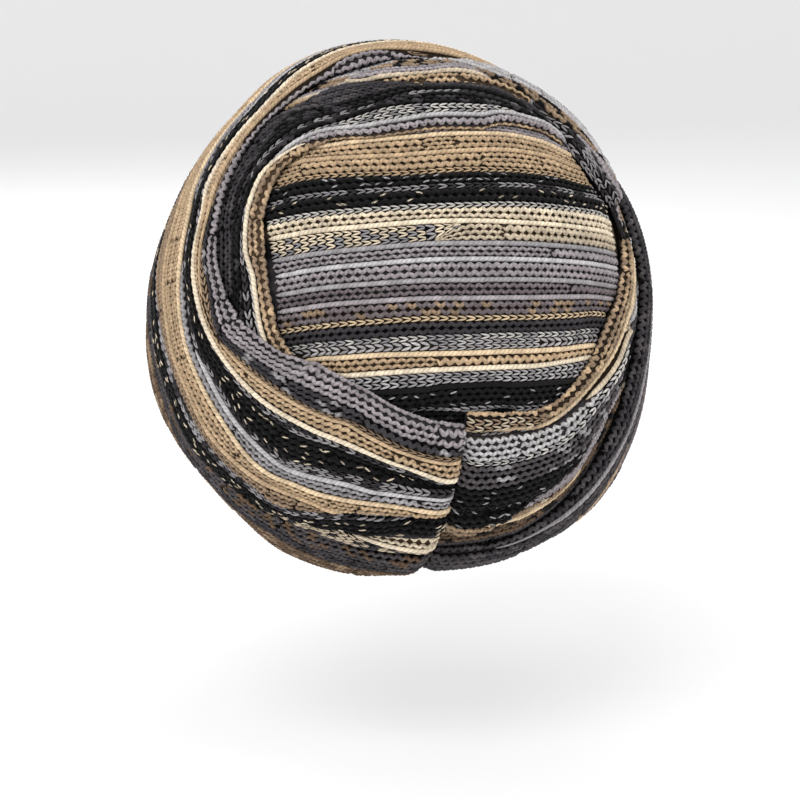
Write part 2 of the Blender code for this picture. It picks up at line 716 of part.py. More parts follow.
def build_all():
    """Model every piece of the headwrap."""
    top = ("left_outer_wrap", "right_lower_wrap")
    wraps = [
        Wrap("left_outer_wrap", LEFT_OUTER, LEFT_CREASES, (), (True, False), (46, 21), 1.22),
        Wrap("right_lower_wrap", RIGHT_LOWER, LOWER_CREASES, (), (False, True), (34, 10), 1.15),
        Wrap("right_wrap", RIGHT_WRAP, RIGHT_CREASES, top, (False, True), (36, 11), 1.12),
        Wrap("left_inner_wrap", LEFT_INNER, NO_CREASES, top, (False, False), (24, 7)),
        Wrap("left_roll", LEFT_ROLL, NO_CREASES, top, (False, False), (28, 3)),
        Wrap("right_roll", RIGHT_ROLL, NO_CREASES, (), (False, False), (22, 3)),
        Wrap("nape_seam", NAPE_STRIP, NO_CREASES, top + ("right_wrap",),
             (False, False), (3, 12)),
    ]
    stack = Stack(Cap(), wraps)
    colours = {
        "left_outer_wrap": (0.30, 0.22, 0.15),
        "right_lower_wrap": (0.10, 0.09, 0.09),
        "right_wrap": (0.24, 0.22, 0.22),
        "left_inner_wrap": (0.03, 0.03, 0.03),
        "left_roll": (0.48, 0.36, 0.24),
        "right_roll": (0.36, 0.26, 0.17),
        "nape_seam": (0.05, 0.05, 0.05),
    }
    build_cap(stack, (0.34, 0.31, 0.28))
    for wrap in wraps:
        build_wrap(stack, wrap, colours[wrap.name])


clear_scene()
build_all()
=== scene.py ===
"""Looks of the turban headwrap: chunky striped knit, wound and folded round a cap.

Every piece of cloth is a closed sheet in its dark ground colour, with its knitted
yarns laid on it as thin tubes: raised cords, wavy loops and rows of chevrons. The
courses of each piece are charted in short tables of course lines.

The wearer faces -Y, Z is up, and all sizes are in metres unless a name says
otherwise. Places are given by ring and fall angles round the crown panel, as in
the part's source.
"""

import logging
from collections.abc import Callable
from dataclasses import dataclass, field
from enum import Enum
from functools import cached_property

import bpy
import numpy as np
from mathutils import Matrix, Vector

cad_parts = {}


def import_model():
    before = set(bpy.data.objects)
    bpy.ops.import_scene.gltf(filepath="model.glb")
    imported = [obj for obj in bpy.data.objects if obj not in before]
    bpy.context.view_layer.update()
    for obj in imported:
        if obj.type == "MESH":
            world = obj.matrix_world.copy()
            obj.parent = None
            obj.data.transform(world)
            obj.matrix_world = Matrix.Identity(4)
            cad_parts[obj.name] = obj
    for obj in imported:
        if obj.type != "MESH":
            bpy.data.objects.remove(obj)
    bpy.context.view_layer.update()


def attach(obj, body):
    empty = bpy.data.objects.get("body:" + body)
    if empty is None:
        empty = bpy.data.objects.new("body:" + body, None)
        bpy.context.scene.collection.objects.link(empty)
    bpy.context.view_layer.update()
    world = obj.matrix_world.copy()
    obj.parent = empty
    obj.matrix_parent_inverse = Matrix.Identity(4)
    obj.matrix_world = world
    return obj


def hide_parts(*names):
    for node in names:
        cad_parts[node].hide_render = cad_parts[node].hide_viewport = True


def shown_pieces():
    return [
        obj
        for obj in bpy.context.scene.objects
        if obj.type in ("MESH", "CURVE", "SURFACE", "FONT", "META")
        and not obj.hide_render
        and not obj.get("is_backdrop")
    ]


Rows = dict[str, np.ndarray]
Place = tuple[np.ndarray, np.ndarray]
Lift = np.ndarray | float
LOG = logging.getLogger("turban")


def rows(names: str, *values: tuple[float, ...]) -> Rows:
    """Return a short table as one array for each named column.

    Args:
        names: the column names, with spaces between them.
        values: one tuple for each row.

    Returns:
        The columns by name.
    """
    grid = np.array(values, dtype=float)
    return {name: grid[:, k] for k, name in enumerate(names.split())}


def read(table: Rows, name: str, at: np.ndarray, key: str = "ring") -> np.ndarray:
    """Return one column of a table at any value of its key column.

    Args:
        table: the table.
        name: the column to read.
        at: values of the key column.
        key: the key column.

    Returns:
        The column's values on a smooth line that never overshoots.
    """
    xs, ys = table[key], table[name]
    width = np.diff(xs)
    slope = np.diff(ys) / width
    inner = np.zeros_like(ys)
    same = slope[:-1] * slope[1:] > 0
    safe = np.where(same, slope[:-1] + slope[1:], 1.0)
    inner[1:-1] = np.where(same, 2 * slope[:-1] * slope[1:] / safe, 0.0)
    at = np.clip(at, xs[0], xs[-1])
    k = np.clip(np.searchsorted(xs, at, side="right") - 1, 0, len(xs) - 2)
    t = (at - xs[k]) / width[k]
    rise = width[k] * (inner[k] * (t - 2 * t**2 + t**3) + inner[k + 1] * (t**3 - t**2))
    return ys[k] * (1 - 3 * t**2 + 2 * t**3) + ys[k + 1] * (3 * t**2 - 2 * t**3) + rise


def smooth(share: np.ndarray) -> np.ndarray:
    """Return a soft step from 0 to 1."""
    share = np.clip(share, 0, 1)
    return share * share * (3 - 2 * share)


def rounded(share: np.ndarray) -> np.ndarray:
    """Return how far a round edge has dropped, 1 at the edge and 0 inside."""
    back = 1 - np.clip(share, 0, 1)
    return 1 - np.sqrt(np.clip(1 - back**2, 0, 1))


def unit(ways: np.ndarray) -> np.ndarray:
    """Return vectors at length one."""
    return ways / np.maximum(np.linalg.norm(ways, axis=-1, keepdims=True), 1e-12)


RIM_HANG = rows(
    "ring fall",
    (-180, 0.0), (-70, 0.0), (-45, 2.5), (-22, 5.0), (-10, 8.0), (4, 9.0), (10, 11.5),
    (20, 15.0), (30, 14.0), (40, 8.5), (52, 3.0), (70, 0.0), (180, 0.0),
)

CROWN_EDGE = rows(
    "ring fall height",
    (-180, 35.0, -0.56), (-150, 42.0, -0.56), (-125, 46.0, -0.58), (-110, 51.0, -0.60),
    (-98, 50.0, -0.64), (-85, 44.0, -0.70), (-70, 39.0, -0.80), (-50, 38.0, -0.88),
    (0, 33.0, -0.92), (60, 41.0, -0.92), (90, 47.0, -0.84), (125, 50.0, -0.72),
    (150, 37.0, -0.60), (180, 35.0, -0.56),
)

LEFT_OUTER = rows(
    "ring inner crest lip_in lip_out",
    (5.0, 34.2, -0.16, -0.60, -1.35), (20, 34.0, -0.08, -0.58, -1.35),
    (30, 34.4, -0.06, -0.56, -1.35), (40, 34.9, -0.05, -0.54, -1.35),
    (50, 36.9, -0.04, -0.50, -1.35), (60, 40.5, -0.03, -0.42, -1.40),
    (70, 47.0, -0.03, -0.30, -1.35), (83, 54.8, -0.05, -0.22, -1.35),
    (92, 59.0, -0.12, -0.28, -1.35), (101, 62.6, -0.26, -0.40, -1.35),
    (121, 66.0, -0.54, -0.60, -1.40), (140, 68.0, -0.52, -0.60, -0.90),
    (157, 67.0, -0.14, -0.42, -0.60), (168, 65.0, -0.02, -0.36, -0.55),
    (180, 67.0, -0.04, -0.36, -0.55), (200, 69.0, -0.16, -0.42, -0.55),
    (215, 71.0, -0.26, -0.46, -0.58), (228, 72.0, -0.34, -0.52, -0.62),
    (236, 72.4, -0.48, -0.60, -0.68),
)

LEFT_INNER = rows(
    "ring inner outer crest lip_in lip_out",
    (60, 47.7, 53.0, -0.70, -0.80, -0.90), (72, 50.9, 60.0, -0.38, -0.56, -0.80),
    (90.6, 50.1, 70.0, -0.24, -0.44, -0.80), (101, 52.5, 72.0, -0.24, -0.42, -0.80),
    (111, 53.8, 74.0, -0.26, -0.42, -0.80), (121, 54.0, 75.0, -0.32, -0.42, -0.84),
    (136, 49.2, 70.0, -0.36, -0.44, -0.80), (146, 42.6, 65.6, -0.37, -0.44, -0.72),
    (152, 39.0, 61.0, -0.37, -0.44, -0.60), (162, 36.6, 53.8, -0.34, -0.42, -0.46),
    (172, 35.6, 48.6, -0.30, -0.42, -0.42), (181, 35.4, 45.8, -0.28, -0.40, -0.40),
    (191, 36.0, 47.5, -0.26, -0.40, -0.38), (201, 39.5, 48.9, -0.26, -0.40, -0.36),
    (211, 42.6, 48.4, -0.28, -0.40, -0.36), (219, 45.6, 47.6, -0.34, -0.40, -0.38),
)

RIGHT_WRAP = rows(
    "ring inner outer crest lip_in lip_out",
    (-220, 71.5, 80.0, -0.86, -0.92, -0.98), (-210, 64.0, 78.5, -0.58, -0.66, -0.92),
    (-198, 55.0, 77.0, -0.34, -0.42, -0.86), (-188, 49.5, 76.0, -0.22, -0.36, -0.84),
    (-179, 46.7, 76.0, -0.14, -0.32, -0.84), (-169, 48.4, 77.0, -0.09, -0.30, -0.84),
    (-159, 49.8, 78.0, -0.05, -0.28, -0.84), (-149, 49.3, 79.0, -0.04, -0.26, -0.84),
    (-137, 47.6, 80.0, -0.04, -0.26, -0.84), (-129, 44.6, 79.0, -0.04, -0.27, -0.84),
    (-122, 44.3, 78.0, -0.04, -0.28, -0.84), (-115, 47.6, 76.0, -0.04, -0.28, -0.84),
    (-105, 52.6, 71.0, -0.04, -0.26, -0.84), (-98, 52.2, 68.0, -0.04, -0.26, -0.84),
    (-91, 50.2, 65.0, -0.04, -0.28, -0.86), (-81, 48.0, 62.5, -0.05, -0.34, -0.90),
    (-72, 45.6, 61.0, -0.06, -0.40, -0.95), (-62, 43.2, 60.5, -0.06, -0.44, -1.00),
    (-52, 41.1, 61.0, -0.06, -0.48, -1.05), (-42, 39.7, 63.0, -0.08, -0.50, -1.10),
    (-32, 38.8, 66.0, -0.10, -0.52, -1.15), (-22, 37.9, 69.0, -0.12, -0.53, -1.25),
    (-12, 35.8, 70.5, -0.16, -0.54, -1.30), (4.4, 35.3, 70.5, -0.22, -0.56, -1.35),
)

RIGHT_LOWER = rows(
    "ring inner crest lip_in lip_out",
    (-256, 130.0, -1.10, -1.25, -1.45), (-245, 124.5, -0.75, -1.05, -1.45),
    (-230, 122.5, -0.42, -0.72, -1.40), (-210, 117.0, -0.24, -0.58, -1.35),
    (-195, 112.5, -0.20, -0.55, -1.30), (-180, 109.0, -0.18, -0.55, -1.30),
    (-165, 102.0, -0.16, -0.55, -1.30), (-150, 93.0, -0.14, -0.55, -1.30),
    (-135, 83.0, -0.12, -0.52, -1.30), (-120, 73.0, -0.08, -0.44, -1.35),
    (-105, 64.0, -0.04, -0.34, -1.35), (-90, 58.0, -0.02, -0.24, -1.40),
    (-76, 55.5, -0.02, -0.22, -1.45), (-61, 54.0, -0.02, -0.24, -1.50),
    (-51, 54.7, -0.03, -0.28, -1.50), (-41, 56.8, -0.06, -0.32, -1.50),
    (-32, 60.2, -0.12, -0.36, -1.50), (-22, 63.9, -0.18, -0.42, -1.45),
    (-12, 65.6, -0.22, -0.48, -1.40), (4.4, 65.6, -0.28, -0.56, -1.40),
)

LEFT_ROLL = rows(
    "ring inner outer crest lip_in lip_out",
    (58, 44.0, 47.0, -0.76, -0.82, -0.84), (66, 45.0, 48.8, -0.46, -0.70, -0.70),
    (75, 45.8, 50.0, -0.30, -0.60, -0.54), (91, 46.0, 49.3, -0.28, -0.56, -0.50),
    (101, 47.2, 51.7, -0.30, -0.54, -0.48), (111, 49.4, 53.0, -0.32, -0.52, -0.46),
    (121, 50.2, 53.2, -0.34, -0.50, -0.45), (130, 48.0, 51.0, -0.34, -0.48, -0.44),
    (138, 44.2, 47.4, -0.35, -0.46, -0.43), (152, 35.0, 38.2, -0.36, -0.44, -0.42),
    (167, 31.9, 35.1, -0.35, -0.42, -0.40), (182, 31.2, 34.6, -0.34, -0.42, -0.39),
    (192, 31.8, 35.3, -0.34, -0.42, -0.39), (201, 35.4, 38.7, -0.34, -0.42, -0.39),
    (211, 38.9, 41.8, -0.35, -0.42, -0.39), (219, 42.2, 44.8, -0.36, -0.42, -0.39),
    (226, 43.6, 45.2, -0.38, -0.42, -0.40),
)

RIGHT_ROLL = rows(
    "ring inner outer crest lip_in lip_out",
    (-99, 49.4, 51.4, -0.38, -0.40, -0.38), (-91, 46.0, 49.4, -0.31, -0.44, -0.38),
    (-82, 42.4, 47.5, -0.32, -0.50, -0.42), (-73, 39.4, 45.1, -0.34, -0.56, -0.46),
    (-63, 38.0, 42.7, -0.36, -0.62, -0.50), (-53, 37.4, 40.5, -0.38, -0.64, -0.54),
    (-43, 36.6, 39.0, -0.41, -0.64, -0.58), (-33, 36.0, 38.1, -0.43, -0.64, -0.58),
    (-22, 34.2, 37.1, -0.44, -0.64, -0.58), (-12, 32.2, 35.0, -0.44, -0.64, -0.58),
    (4.4, 31.4, 34.5, -0.44, -0.64, -0.58),
)

NAPE_STRIP = rows(
    "ring inner outer crest lip_in lip_out",
    (0.6, 39.0, 67.0, -1.06, -1.08, -1.12), (8.8, 39.0, 67.0, -1.06, -1.08, -1.12),
)

LEFT_CREASES = (
    rows("ring fall depth above below",
         (5.0, 46.0, 0.66, 3.6, 2.2), (20, 45.4, 0.48, 3.8, 3.0), (32, 46.6, 0.30, 4.0, 4.0),
         (50, 52.8, 0.15, 4.0, 5.0), (75, 64.6, 0.10, 4.0, 5.0), (100, 70.0, 0.06, 4.0, 5.0),
         (125, 72.0, 0.00, 4.0, 5.0)),
    rows("ring fall depth above below",
         (5.0, 53.4, 0.66, 2.8, 2.4), (15, 54.4, 0.46, 3.0, 2.8), (25, 57.6, 0.26, 3.2, 3.2),
         (36, 62.0, 0.12, 3.6, 4.0), (55, 70.0, 0.06, 4.0, 4.0), (80, 78.0, 0.00, 4.0, 4.0)),
    rows("ring fall depth above below",
         (5.0, 59.6, 0.46, 2.6, 2.2), (14, 60.2, 0.30, 2.6, 2.4), (24, 62.4, 0.12, 2.6, 2.6),
         (36, 66.6, 0.00, 2.6, 2.6)),
    rows("ring fall depth above below",
         (5.0, 65.2, 0.60, 2.4, 2.6), (14, 65.8, 0.44, 2.6, 3.0), (24, 67.4, 0.24, 3.0, 3.2),
         (38, 71.6, 0.10, 3.4, 4.0), (55, 80.0, 0.06, 4.0, 4.0), (80, 88.0, 0.00, 4.0, 4.0)),
    rows("ring fall depth above below",
         (60, 86.0, 0.00, 5.0, 5.0), (85, 96.0, 0.14, 5.0, 5.0), (130, 98.0, 0.22, 6.0, 6.0),
         (180, 90.0, 0.24, 6.0, 6.0), (210, 80.0, 0.16, 5.0, 5.0),
         (228, 75.0, 0.00, 4.0, 4.0)),
)

RIGHT_CREASES = (
    rows("ring fall depth above below",
         (-75, 52.0, 0.00, 3.0, 3.0), (-55, 48.4, 0.08, 3.4, 3.0),
         (-36, 49.3, 0.16, 3.6, 2.8), (-19, 51.5, 0.32, 3.6, 2.6),
         (4.4, 51.8, 0.56, 3.6, 2.6)),
    rows("ring fall depth above below",
         (-100, 58.0, 0.00, 3.0, 3.0), (-75, 50.0, 0.08, 3.0, 3.0),
         (-40, 43.4, 0.12, 3.0, 3.0), (4.4, 42.0, 0.12, 3.0, 3.0)),
)

LOWER_CREASES = (
    rows("ring fall depth above below",
         (-232, 128.0, 0.00, 6.0, 5.0), (-210, 125.0, 0.34, 8.0, 6.0),
         (-180, 123.0, 0.50, 10.0, 8.0), (-140, 104.0, 0.46, 11.0, 9.0),
         (-100, 79.0, 0.26, 9.0, 8.0), (-60, 67.0, 0.14, 6.0, 6.0),
         (-20, 71.0, 0.00, 3.0, 3.0)),
    rows("ring fall depth above below",
         (-225, 140.0, 0.00, 6.0, 5.0), (-195, 138.0, 0.36, 7.0, 7.0),
         (-160, 131.0, 0.44, 9.0, 8.0), (-120, 107.0, 0.38, 10.0, 9.0),
         (-80, 86.0, 0.20, 9.0, 8.0), (-50, 77.0, 0.00, 5.0, 5.0)),
)


@dataclass(frozen=True)
class WoundForm:
    """The rounded form that the cloth is wound on, and its angles."""

    half_width: float = 0.1065
    half_depth: float = 0.1200
    crown_rise: float = 0.1105
    skirt_drop: float = 0.1180
    middle_lift: float = 0.0530
    crown_tilt: float = 16.0
    rim_slope: float = 30.1
    upper_power: float = 2.0
    lower_power: float = 2.5

    def direction(self, ring: np.ndarray, fall: np.ndarray) -> np.ndarray:
        """Return the unit directions of places given by ring and fall angles."""
        tilt = np.radians(self.crown_tilt)
        middle = np.array((0.0, np.cos(tilt), np.sin(tilt)))
        down = np.array((0.0, np.sin(tilt), -np.cos(tilt)))
        left = np.array((1.0, 0.0, 0.0))
        ring = np.radians(np.asarray(ring, dtype=float))[..., None]
        fall = np.radians(np.asarray(fall, dtype=float))[..., None]
        side = np.cos(ring) * down + np.sin(ring) * left
        return np.cos(fall) * middle + np.sin(fall) * side

    def radius(self, way: np.ndarray) -> np.ndarray:
        """Return the distance from the middle to the form along each direction."""
        above = way[..., 2] > 0
        reach = np.where(above, self.crown_rise, self.skirt_drop)
        power = np.where(above, self.upper_power, self.lower_power)
        flat = np.hypot(way[..., 0] / self.half_width, way[..., 1] / self.half_depth)
        return (flat**power + np.abs(way[..., 2] / reach)**power)**(-1 / power)

    def place(self, ring: np.ndarray, fall: np.ndarray, height: np.ndarray) -> np.ndarray:
        """Return points at a height over the form."""
        way = self.direction(ring, fall)
        points = way * (self.radius(way) + height)[..., None]
        points[..., 2] += self.middle_lift
        return points

    @cached_property
    def rim_line(self) -> Place:
        """Ring angles all round, and the fall where the form meets the opening plane."""
        ring = np.arange(-180.0, 180.1, 0.25)
        low, high = np.full(ring.shape, 45.0), np.full(ring.shape, 170.0)
        slope = np.tan(np.radians(self.rim_slope))
        for _ in range(28):
            mid = (low + high) / 2
            point = self.place(ring, mid, np.zeros(ring.shape))
            over = point[..., 2] + slope * point[..., 1] > 0
            low, high = np.where(over, mid, low), np.where(over, high, mid)
        return ring, low

    def rim_fall(self, ring: np.ndarray) -> np.ndarray:
        """Return the fall angle of the rim."""
        turned = (np.asarray(ring, dtype=float) + 180) % 360 - 180
        return np.interp(turned, *self.rim_line) + read(RIM_HANG, "fall", turned)


FORM = WoundForm()


@dataclass(frozen=True)
class Bulk:
    """Sizes of the folds and the walls, as in the part's source."""

    fold: float = 0.0100
    cap_wall: float = 0.0024
    wrap_wall: float = 0.0020
    gap: float = 0.0009
    edge_round: float = 0.0095
    seam_round: float = 0.0085
    hem_round: float = 0.0130
    seam_drop: float = 0.50
    blend: float = 3.0


BULK = Bulk()
# Stands for no layer above, in folds; negative, for none below.
OPEN = 9.0
# Stands for an edge that isn't there, in degrees.
NO_EDGE = 999.0
# The left outer wrap crosses the brow past this ring angle.
BROW_FROM = 100.0


@dataclass
class Layer:
    """A strip of cloth wound round the crown, between an inner and an outer edge.

    Args:
        name: the node that the strip stands for.
        table: its stations along the ring angle.
        creases: tables of the creases across it.
        under: names of the layers that lie on it.
        ends: which ends are rounded down.
    """

    name: str
    table: Rows
    creases: tuple[Rows, ...] = ()
    under: tuple[str, ...] = ()
    ends: tuple[bool, bool] = (False, False)

    @property
    def first(self) -> float:
        """The ring angle where the strip starts."""
        return float(self.table["ring"][0])

    @property
    def last(self) -> float:
        """The ring angle where the strip ends."""
        return float(self.table["ring"][-1])

    def turn(self, ring: np.ndarray) -> np.ndarray:
        """Return ring angles in the run of angles that this strip uses."""
        middle = (self.first + self.last) / 2
        return (np.asarray(ring, dtype=float) - middle + 180) % 360 - 180 + middle

    def edges(self, ring: np.ndarray) -> Place:
        """Return the fall angles of both edges."""
        inner = read(self.table, "inner", ring)
        if "outer" in self.table:
            return inner, read(self.table, "outer", ring)
        outer = FORM.rim_fall(ring)
        if self.name == "left_outer_wrap":
            outer = np.minimum(outer, self.tail_edge(ring))
        return inner, np.maximum(outer, inner + 1.5)

    @staticmethod
    def tail_edge(ring: np.ndarray) -> np.ndarray:
        """Return the outer edge of the left outer wrap where it crosses the brow."""
        middle = (RIGHT_LOWER["ring"][0] + RIGHT_LOWER["ring"][-1]) / 2
        turned = (np.asarray(ring, dtype=float) - middle + 180) % 360 - 180 + middle
        inner = read(RIGHT_LOWER, "inner", turned)
        gap = np.degrees(2.2 * BULK.gap / FORM.half_width)
        return np.where(np.asarray(ring) > BROW_FROM, inner - gap, NO_EDGE)

    def height(self, ring: np.ndarray, fall: np.ndarray) -> np.ndarray:
        """Return the height of the outer face before other layers press on it."""
        ring = self.turn(ring)
        inner, outer = self.edges(ring)
        arc = np.radians(1.0) * FORM.radius(FORM.direction(ring, fall))
        crest = read(self.table, "crest", ring)
        lip_in = np.minimum(read(self.table, "lip_in", ring), crest)
        lip_out = np.minimum(read(self.table, "lip_out", ring), crest)
        half = (outer - inner) * arc / 2
        hem = BULK.edge_round if "outer" in self.table else BULK.hem_round
        drops = [
            self.crease_drop(ring, fall),
            (crest - lip_in) * rounded((fall - inner) * arc / np.minimum(BULK.edge_round, half)),
            (crest - lip_out) * rounded((outer - fall) * arc / np.minimum(hem, half)),
        ]
        run = arc * np.sin(np.radians(fall))
        if self.ends[0]:
            drops.append(BULK.seam_drop * rounded((ring - self.first) * run / BULK.seam_round))
        if self.ends[1]:
            drops.append(BULK.seam_drop * rounded((self.last - ring) * run / BULK.seam_round))
        return crest - sum(drop**BULK.blend for drop in drops)**(1 / BULK.blend)

    def crease_drop(self, ring: np.ndarray, fall: np.ndarray) -> np.ndarray:
        """Return how deep the creases cut at each place, in shares of a fold."""
        drop = np.zeros(np.broadcast(ring, fall).shape)
        for table in self.creases:
            away = fall - read(table, "fall", ring)
            reach = np.where(away < 0, read(table, "above", ring), read(table, "below", ring))
            drop = drop + read(table, "depth", ring) * rounded(np.abs(away) / reach)
        return drop

    def covers(self, ring: np.ndarray, fall: np.ndarray, margin: float = 0.0) -> np.ndarray:
        """Return where the strip lies, or lies by more than a margin in degrees."""
        ring = self.turn(ring)
        inner, outer = self.edges(ring)
        along = (ring >= self.first + margin) & (ring <= self.last - margin)
        return along & (fall >= inner + margin) & (fall <= outer - margin)


@dataclass
class CapLayer:
    """The knitted cap under the wraps, open below for the head."""

    name: str = "crown_cap"
    middle: float = -0.80
    under_wraps: float = -1.45
    at_rim: float = -1.95

    def height(self, ring: np.ndarray, fall: np.ndarray) -> np.ndarray:
        """Return the height of its outer face before the wraps press on it."""
        ring = (np.asarray(ring, dtype=float) + 180) % 360 - 180
        edge = read(CROWN_EDGE, "fall", ring)
        rise = read(CROWN_EDGE, "height", ring)
        inside = self.middle + (rise - self.middle) * np.clip(fall / edge, 0, 1)**2
        rim = FORM.rim_fall(ring)
        sink = smooth((fall - edge - 1.0) / 9.0)
        tuck = smooth((fall - rim + 24.0) / 24.0)
        under = self.under_wraps + (self.at_rim - self.under_wraps) * tuck
        return inside + (under - inside) * np.maximum(sink, tuck)

    def covers(self, ring: np.ndarray, fall: np.ndarray) -> np.ndarray:
        """Return where the cap lies."""
        return fall <= FORM.rim_fall(ring)


AnyLayer = Layer | CapLayer


@dataclass
class Pressing:
    """All layers pressed together on one lattice of ring and fall angles.

    Args:
        cap: the cap under all wraps.
        wraps: the wraps, from the top layer down.
        beside: for how many degrees round the seam the left outer wrap and the right wrap
            lie side by side, and not one on the other.
        ring_step: the lattice's step along the ring angle, in degrees.
        fall_step: its step along the fall angle.
        fall_end: where it ends.
        clear: how many cells round a layer others keep clear of it, by axis.
        soft: over how many cells a pressed place is softened.
        tucked: how far inside a wrap's edges the layers below are hidden, in degrees.
    """

    cap: CapLayer
    wraps: list[Layer]
    beside: float = 14.0
    ring_step: float = 1.0
    fall_step: float = 0.5
    fall_end: float = 172.0
    clear: tuple[int, int] = (7, 6)
    soft: tuple[int, int] = (3, 3)
    tucked: float = 1.2
    outer: dict[str, np.ndarray] = field(default_factory=dict)
    press: dict[str, np.ndarray] = field(default_factory=dict)
    floor: dict[str, np.ndarray] = field(default_factory=dict)

    def __post_init__(self) -> None:
        """Press the layers as soon as they are known."""
        ring = np.arange(-180.0, 180.0, self.ring_step)
        fall = np.arange(0.0, self.fall_end, self.fall_step)
        self.grid = np.meshgrid(ring, fall, indexing="ij")
        self.press_down()
        self.lift_floors()

    @staticmethod
    def shift(values: np.ndarray, step: int) -> np.ndarray:
        """Return lattice values moved along the fall angle, with the edge repeated."""
        if step > 0:
            tail = np.repeat(values[:, -1:], step, axis=1)
            return np.concatenate((values[:, step:], tail), axis=1)
        head = np.repeat(values[:, :1], -step, axis=1)
        return np.concatenate((head, values[:, :step]), axis=1)

    def spread(self, values: np.ndarray, cells: tuple[int, int], pick: Callable) -> np.ndarray:
        """Return each lattice value replaced by the picked one of its neighbours."""
        out = values
        for step in range(1, cells[0] + 1):
            sides = pick(np.roll(values, step, axis=0), np.roll(values, -step, axis=0))
            out = pick(out, sides)
        values = out
        for step in range(1, cells[1] + 1):
            out = pick(out, pick(self.shift(values, step), self.shift(values, -step)))
        return out

    def soften(self, values: np.ndarray, cells: tuple[int, int]) -> np.ndarray:
        """Return lattice values averaged with their neighbours."""
        total = values.copy()
        for step in range(1, cells[0] + 1):
            total = total + np.roll(values, step, axis=0) + np.roll(values, -step, axis=0)
        values = total / (2 * cells[0] + 1)
        total = values.copy()
        for step in range(1, cells[1] + 1):
            total = total + self.shift(values, step) + self.shift(values, -step)
        return total / (2 * cells[1] + 1)

    def uppers(self, layer: AnyLayer) -> list[Layer]:
        """Return the wraps that lie on a layer."""
        if isinstance(layer, CapLayer):
            return self.wraps
        return [wrap for wrap in self.wraps if wrap.name in layer.under]

    def touching(self, upper: Layer, lower: AnyLayer) -> np.ndarray:
        """Return where an upper layer may touch a lower one; ends that meet don't."""
        away = np.abs(self.grid[0] - upper.first) > self.beside
        return away | ((upper.name, lower.name) != ("left_outer_wrap", "right_wrap"))

    def press_down(self) -> None:
        """Work out from the top down how far each layer is pressed in."""
        wall = (BULK.wrap_wall + BULK.gap) / BULK.fold
        wide = (self.clear[0] + self.soft[0], self.clear[1] + self.soft[1])
        for layer in [*self.wraps, self.cap]:
            own = layer.height(*self.grid)
            ceiling = np.full(own.shape, OPEN)
            for upper in self.uppers(layer):
                there = upper.covers(*self.grid) & self.touching(upper, layer)
                low = np.where(there, self.outer[upper.name] - wall, OPEN)
                ceiling = np.minimum(ceiling, self.spread(low, self.clear, np.minimum))
            need = np.maximum(own - ceiling, 0.0)
            fading = own - self.soften(self.spread(need, wide, np.maximum), self.soft)
            lowest = np.minimum(own, self.spread(ceiling, wide, np.minimum))
            self.outer[layer.name] = np.maximum(fading, lowest)
            self.press[layer.name] = own - self.outer[layer.name]

    def lift_floors(self) -> None:
        """Work out for each wrap the lowest level that clears the layers below."""
        for wrap in self.wraps:
            floor = self.spread(self.outer["crown_cap"], self.clear, np.maximum)
            for lower in self.wraps:
                if wrap.name not in lower.under:
                    continue
                there = lower.covers(*self.grid) & self.touching(wrap, lower)
                high = np.where(there, self.outer[lower.name], -OPEN)
                floor = np.maximum(floor, self.spread(high, self.clear, np.maximum))
            self.floor[wrap.name] = floor + BULK.gap / BULK.fold

    def look_up(self, values: np.ndarray, ring: np.ndarray, fall: np.ndarray) -> np.ndarray:
        """Return lattice values between its points."""
        x = ((np.asarray(ring, dtype=float) + 180) % 360) / self.ring_step
        y = np.clip(np.asarray(fall, dtype=float) / self.fall_step, 0, values.shape[1] - 1.001)
        i, j = np.floor(x).astype(int), np.floor(y).astype(int)
        u, v = x - i, y - j
        count = values.shape[0]
        i, k = i % count, (i + 1) % count
        near = values[i, j] * (1 - v) + values[i, j + 1] * v
        far = values[k, j] * (1 - v) + values[k, j + 1] * v
        return near * (1 - u) + far * u

    def outer_at(self, layer: AnyLayer, ring: np.ndarray, fall: np.ndarray) -> np.ndarray:
        """Return the outer height of a layer at any place, in metres."""
        high = layer.height(ring, fall) - self.look_up(self.press[layer.name], ring, fall)
        return high * BULK.fold

    def inner_at(self, wrap: Layer, ring: np.ndarray, fall: np.ndarray) -> np.ndarray:
        """Return the inner height of a wrap at any place, in metres."""
        return self.look_up(self.floor[wrap.name], ring, fall) * BULK.fold

    def shown(self, layer: AnyLayer, ring: np.ndarray, fall: np.ndarray) -> np.ndarray:
        """Return where a layer isn't hidden well inside the edges of the wraps on it."""
        hidden = np.zeros(np.broadcast(ring, fall).shape, dtype=bool)
        for upper in self.uppers(layer):
            hidden |= upper.covers(ring, fall, self.tucked)
        return ~hidden


@dataclass(frozen=True)
class ClothFace:
    """The outer face of one layer, as a surface that yarns can be laid on.

    Args:
        pressing: the pressed layers.
        layer: the layer.
        outward: how much the form's own direction evens out the normals.
    """

    pressing: Pressing
    layer: AnyLayer
    outward: float = 0.35

    def point(self, ring: np.ndarray, fall: np.ndarray, lift: Lift = 0.0) -> np.ndarray:
        """Return points on the face, or a little over it."""
        high = self.pressing.outer_at(self.layer, ring, fall)
        return FORM.place(ring, fall, high + lift)

    def normal(self, ring: np.ndarray, fall: np.ndarray, step: float = 0.5) -> np.ndarray:
        """Return the outward normals of the face."""
        along = self.point(ring + step, fall) - self.point(ring - step, fall)
        across = self.point(ring, fall + step) - self.point(ring, fall - step)
        even = self.outward * FORM.direction(ring, fall)
        return unit(unit(np.cross(along, across)) + even)


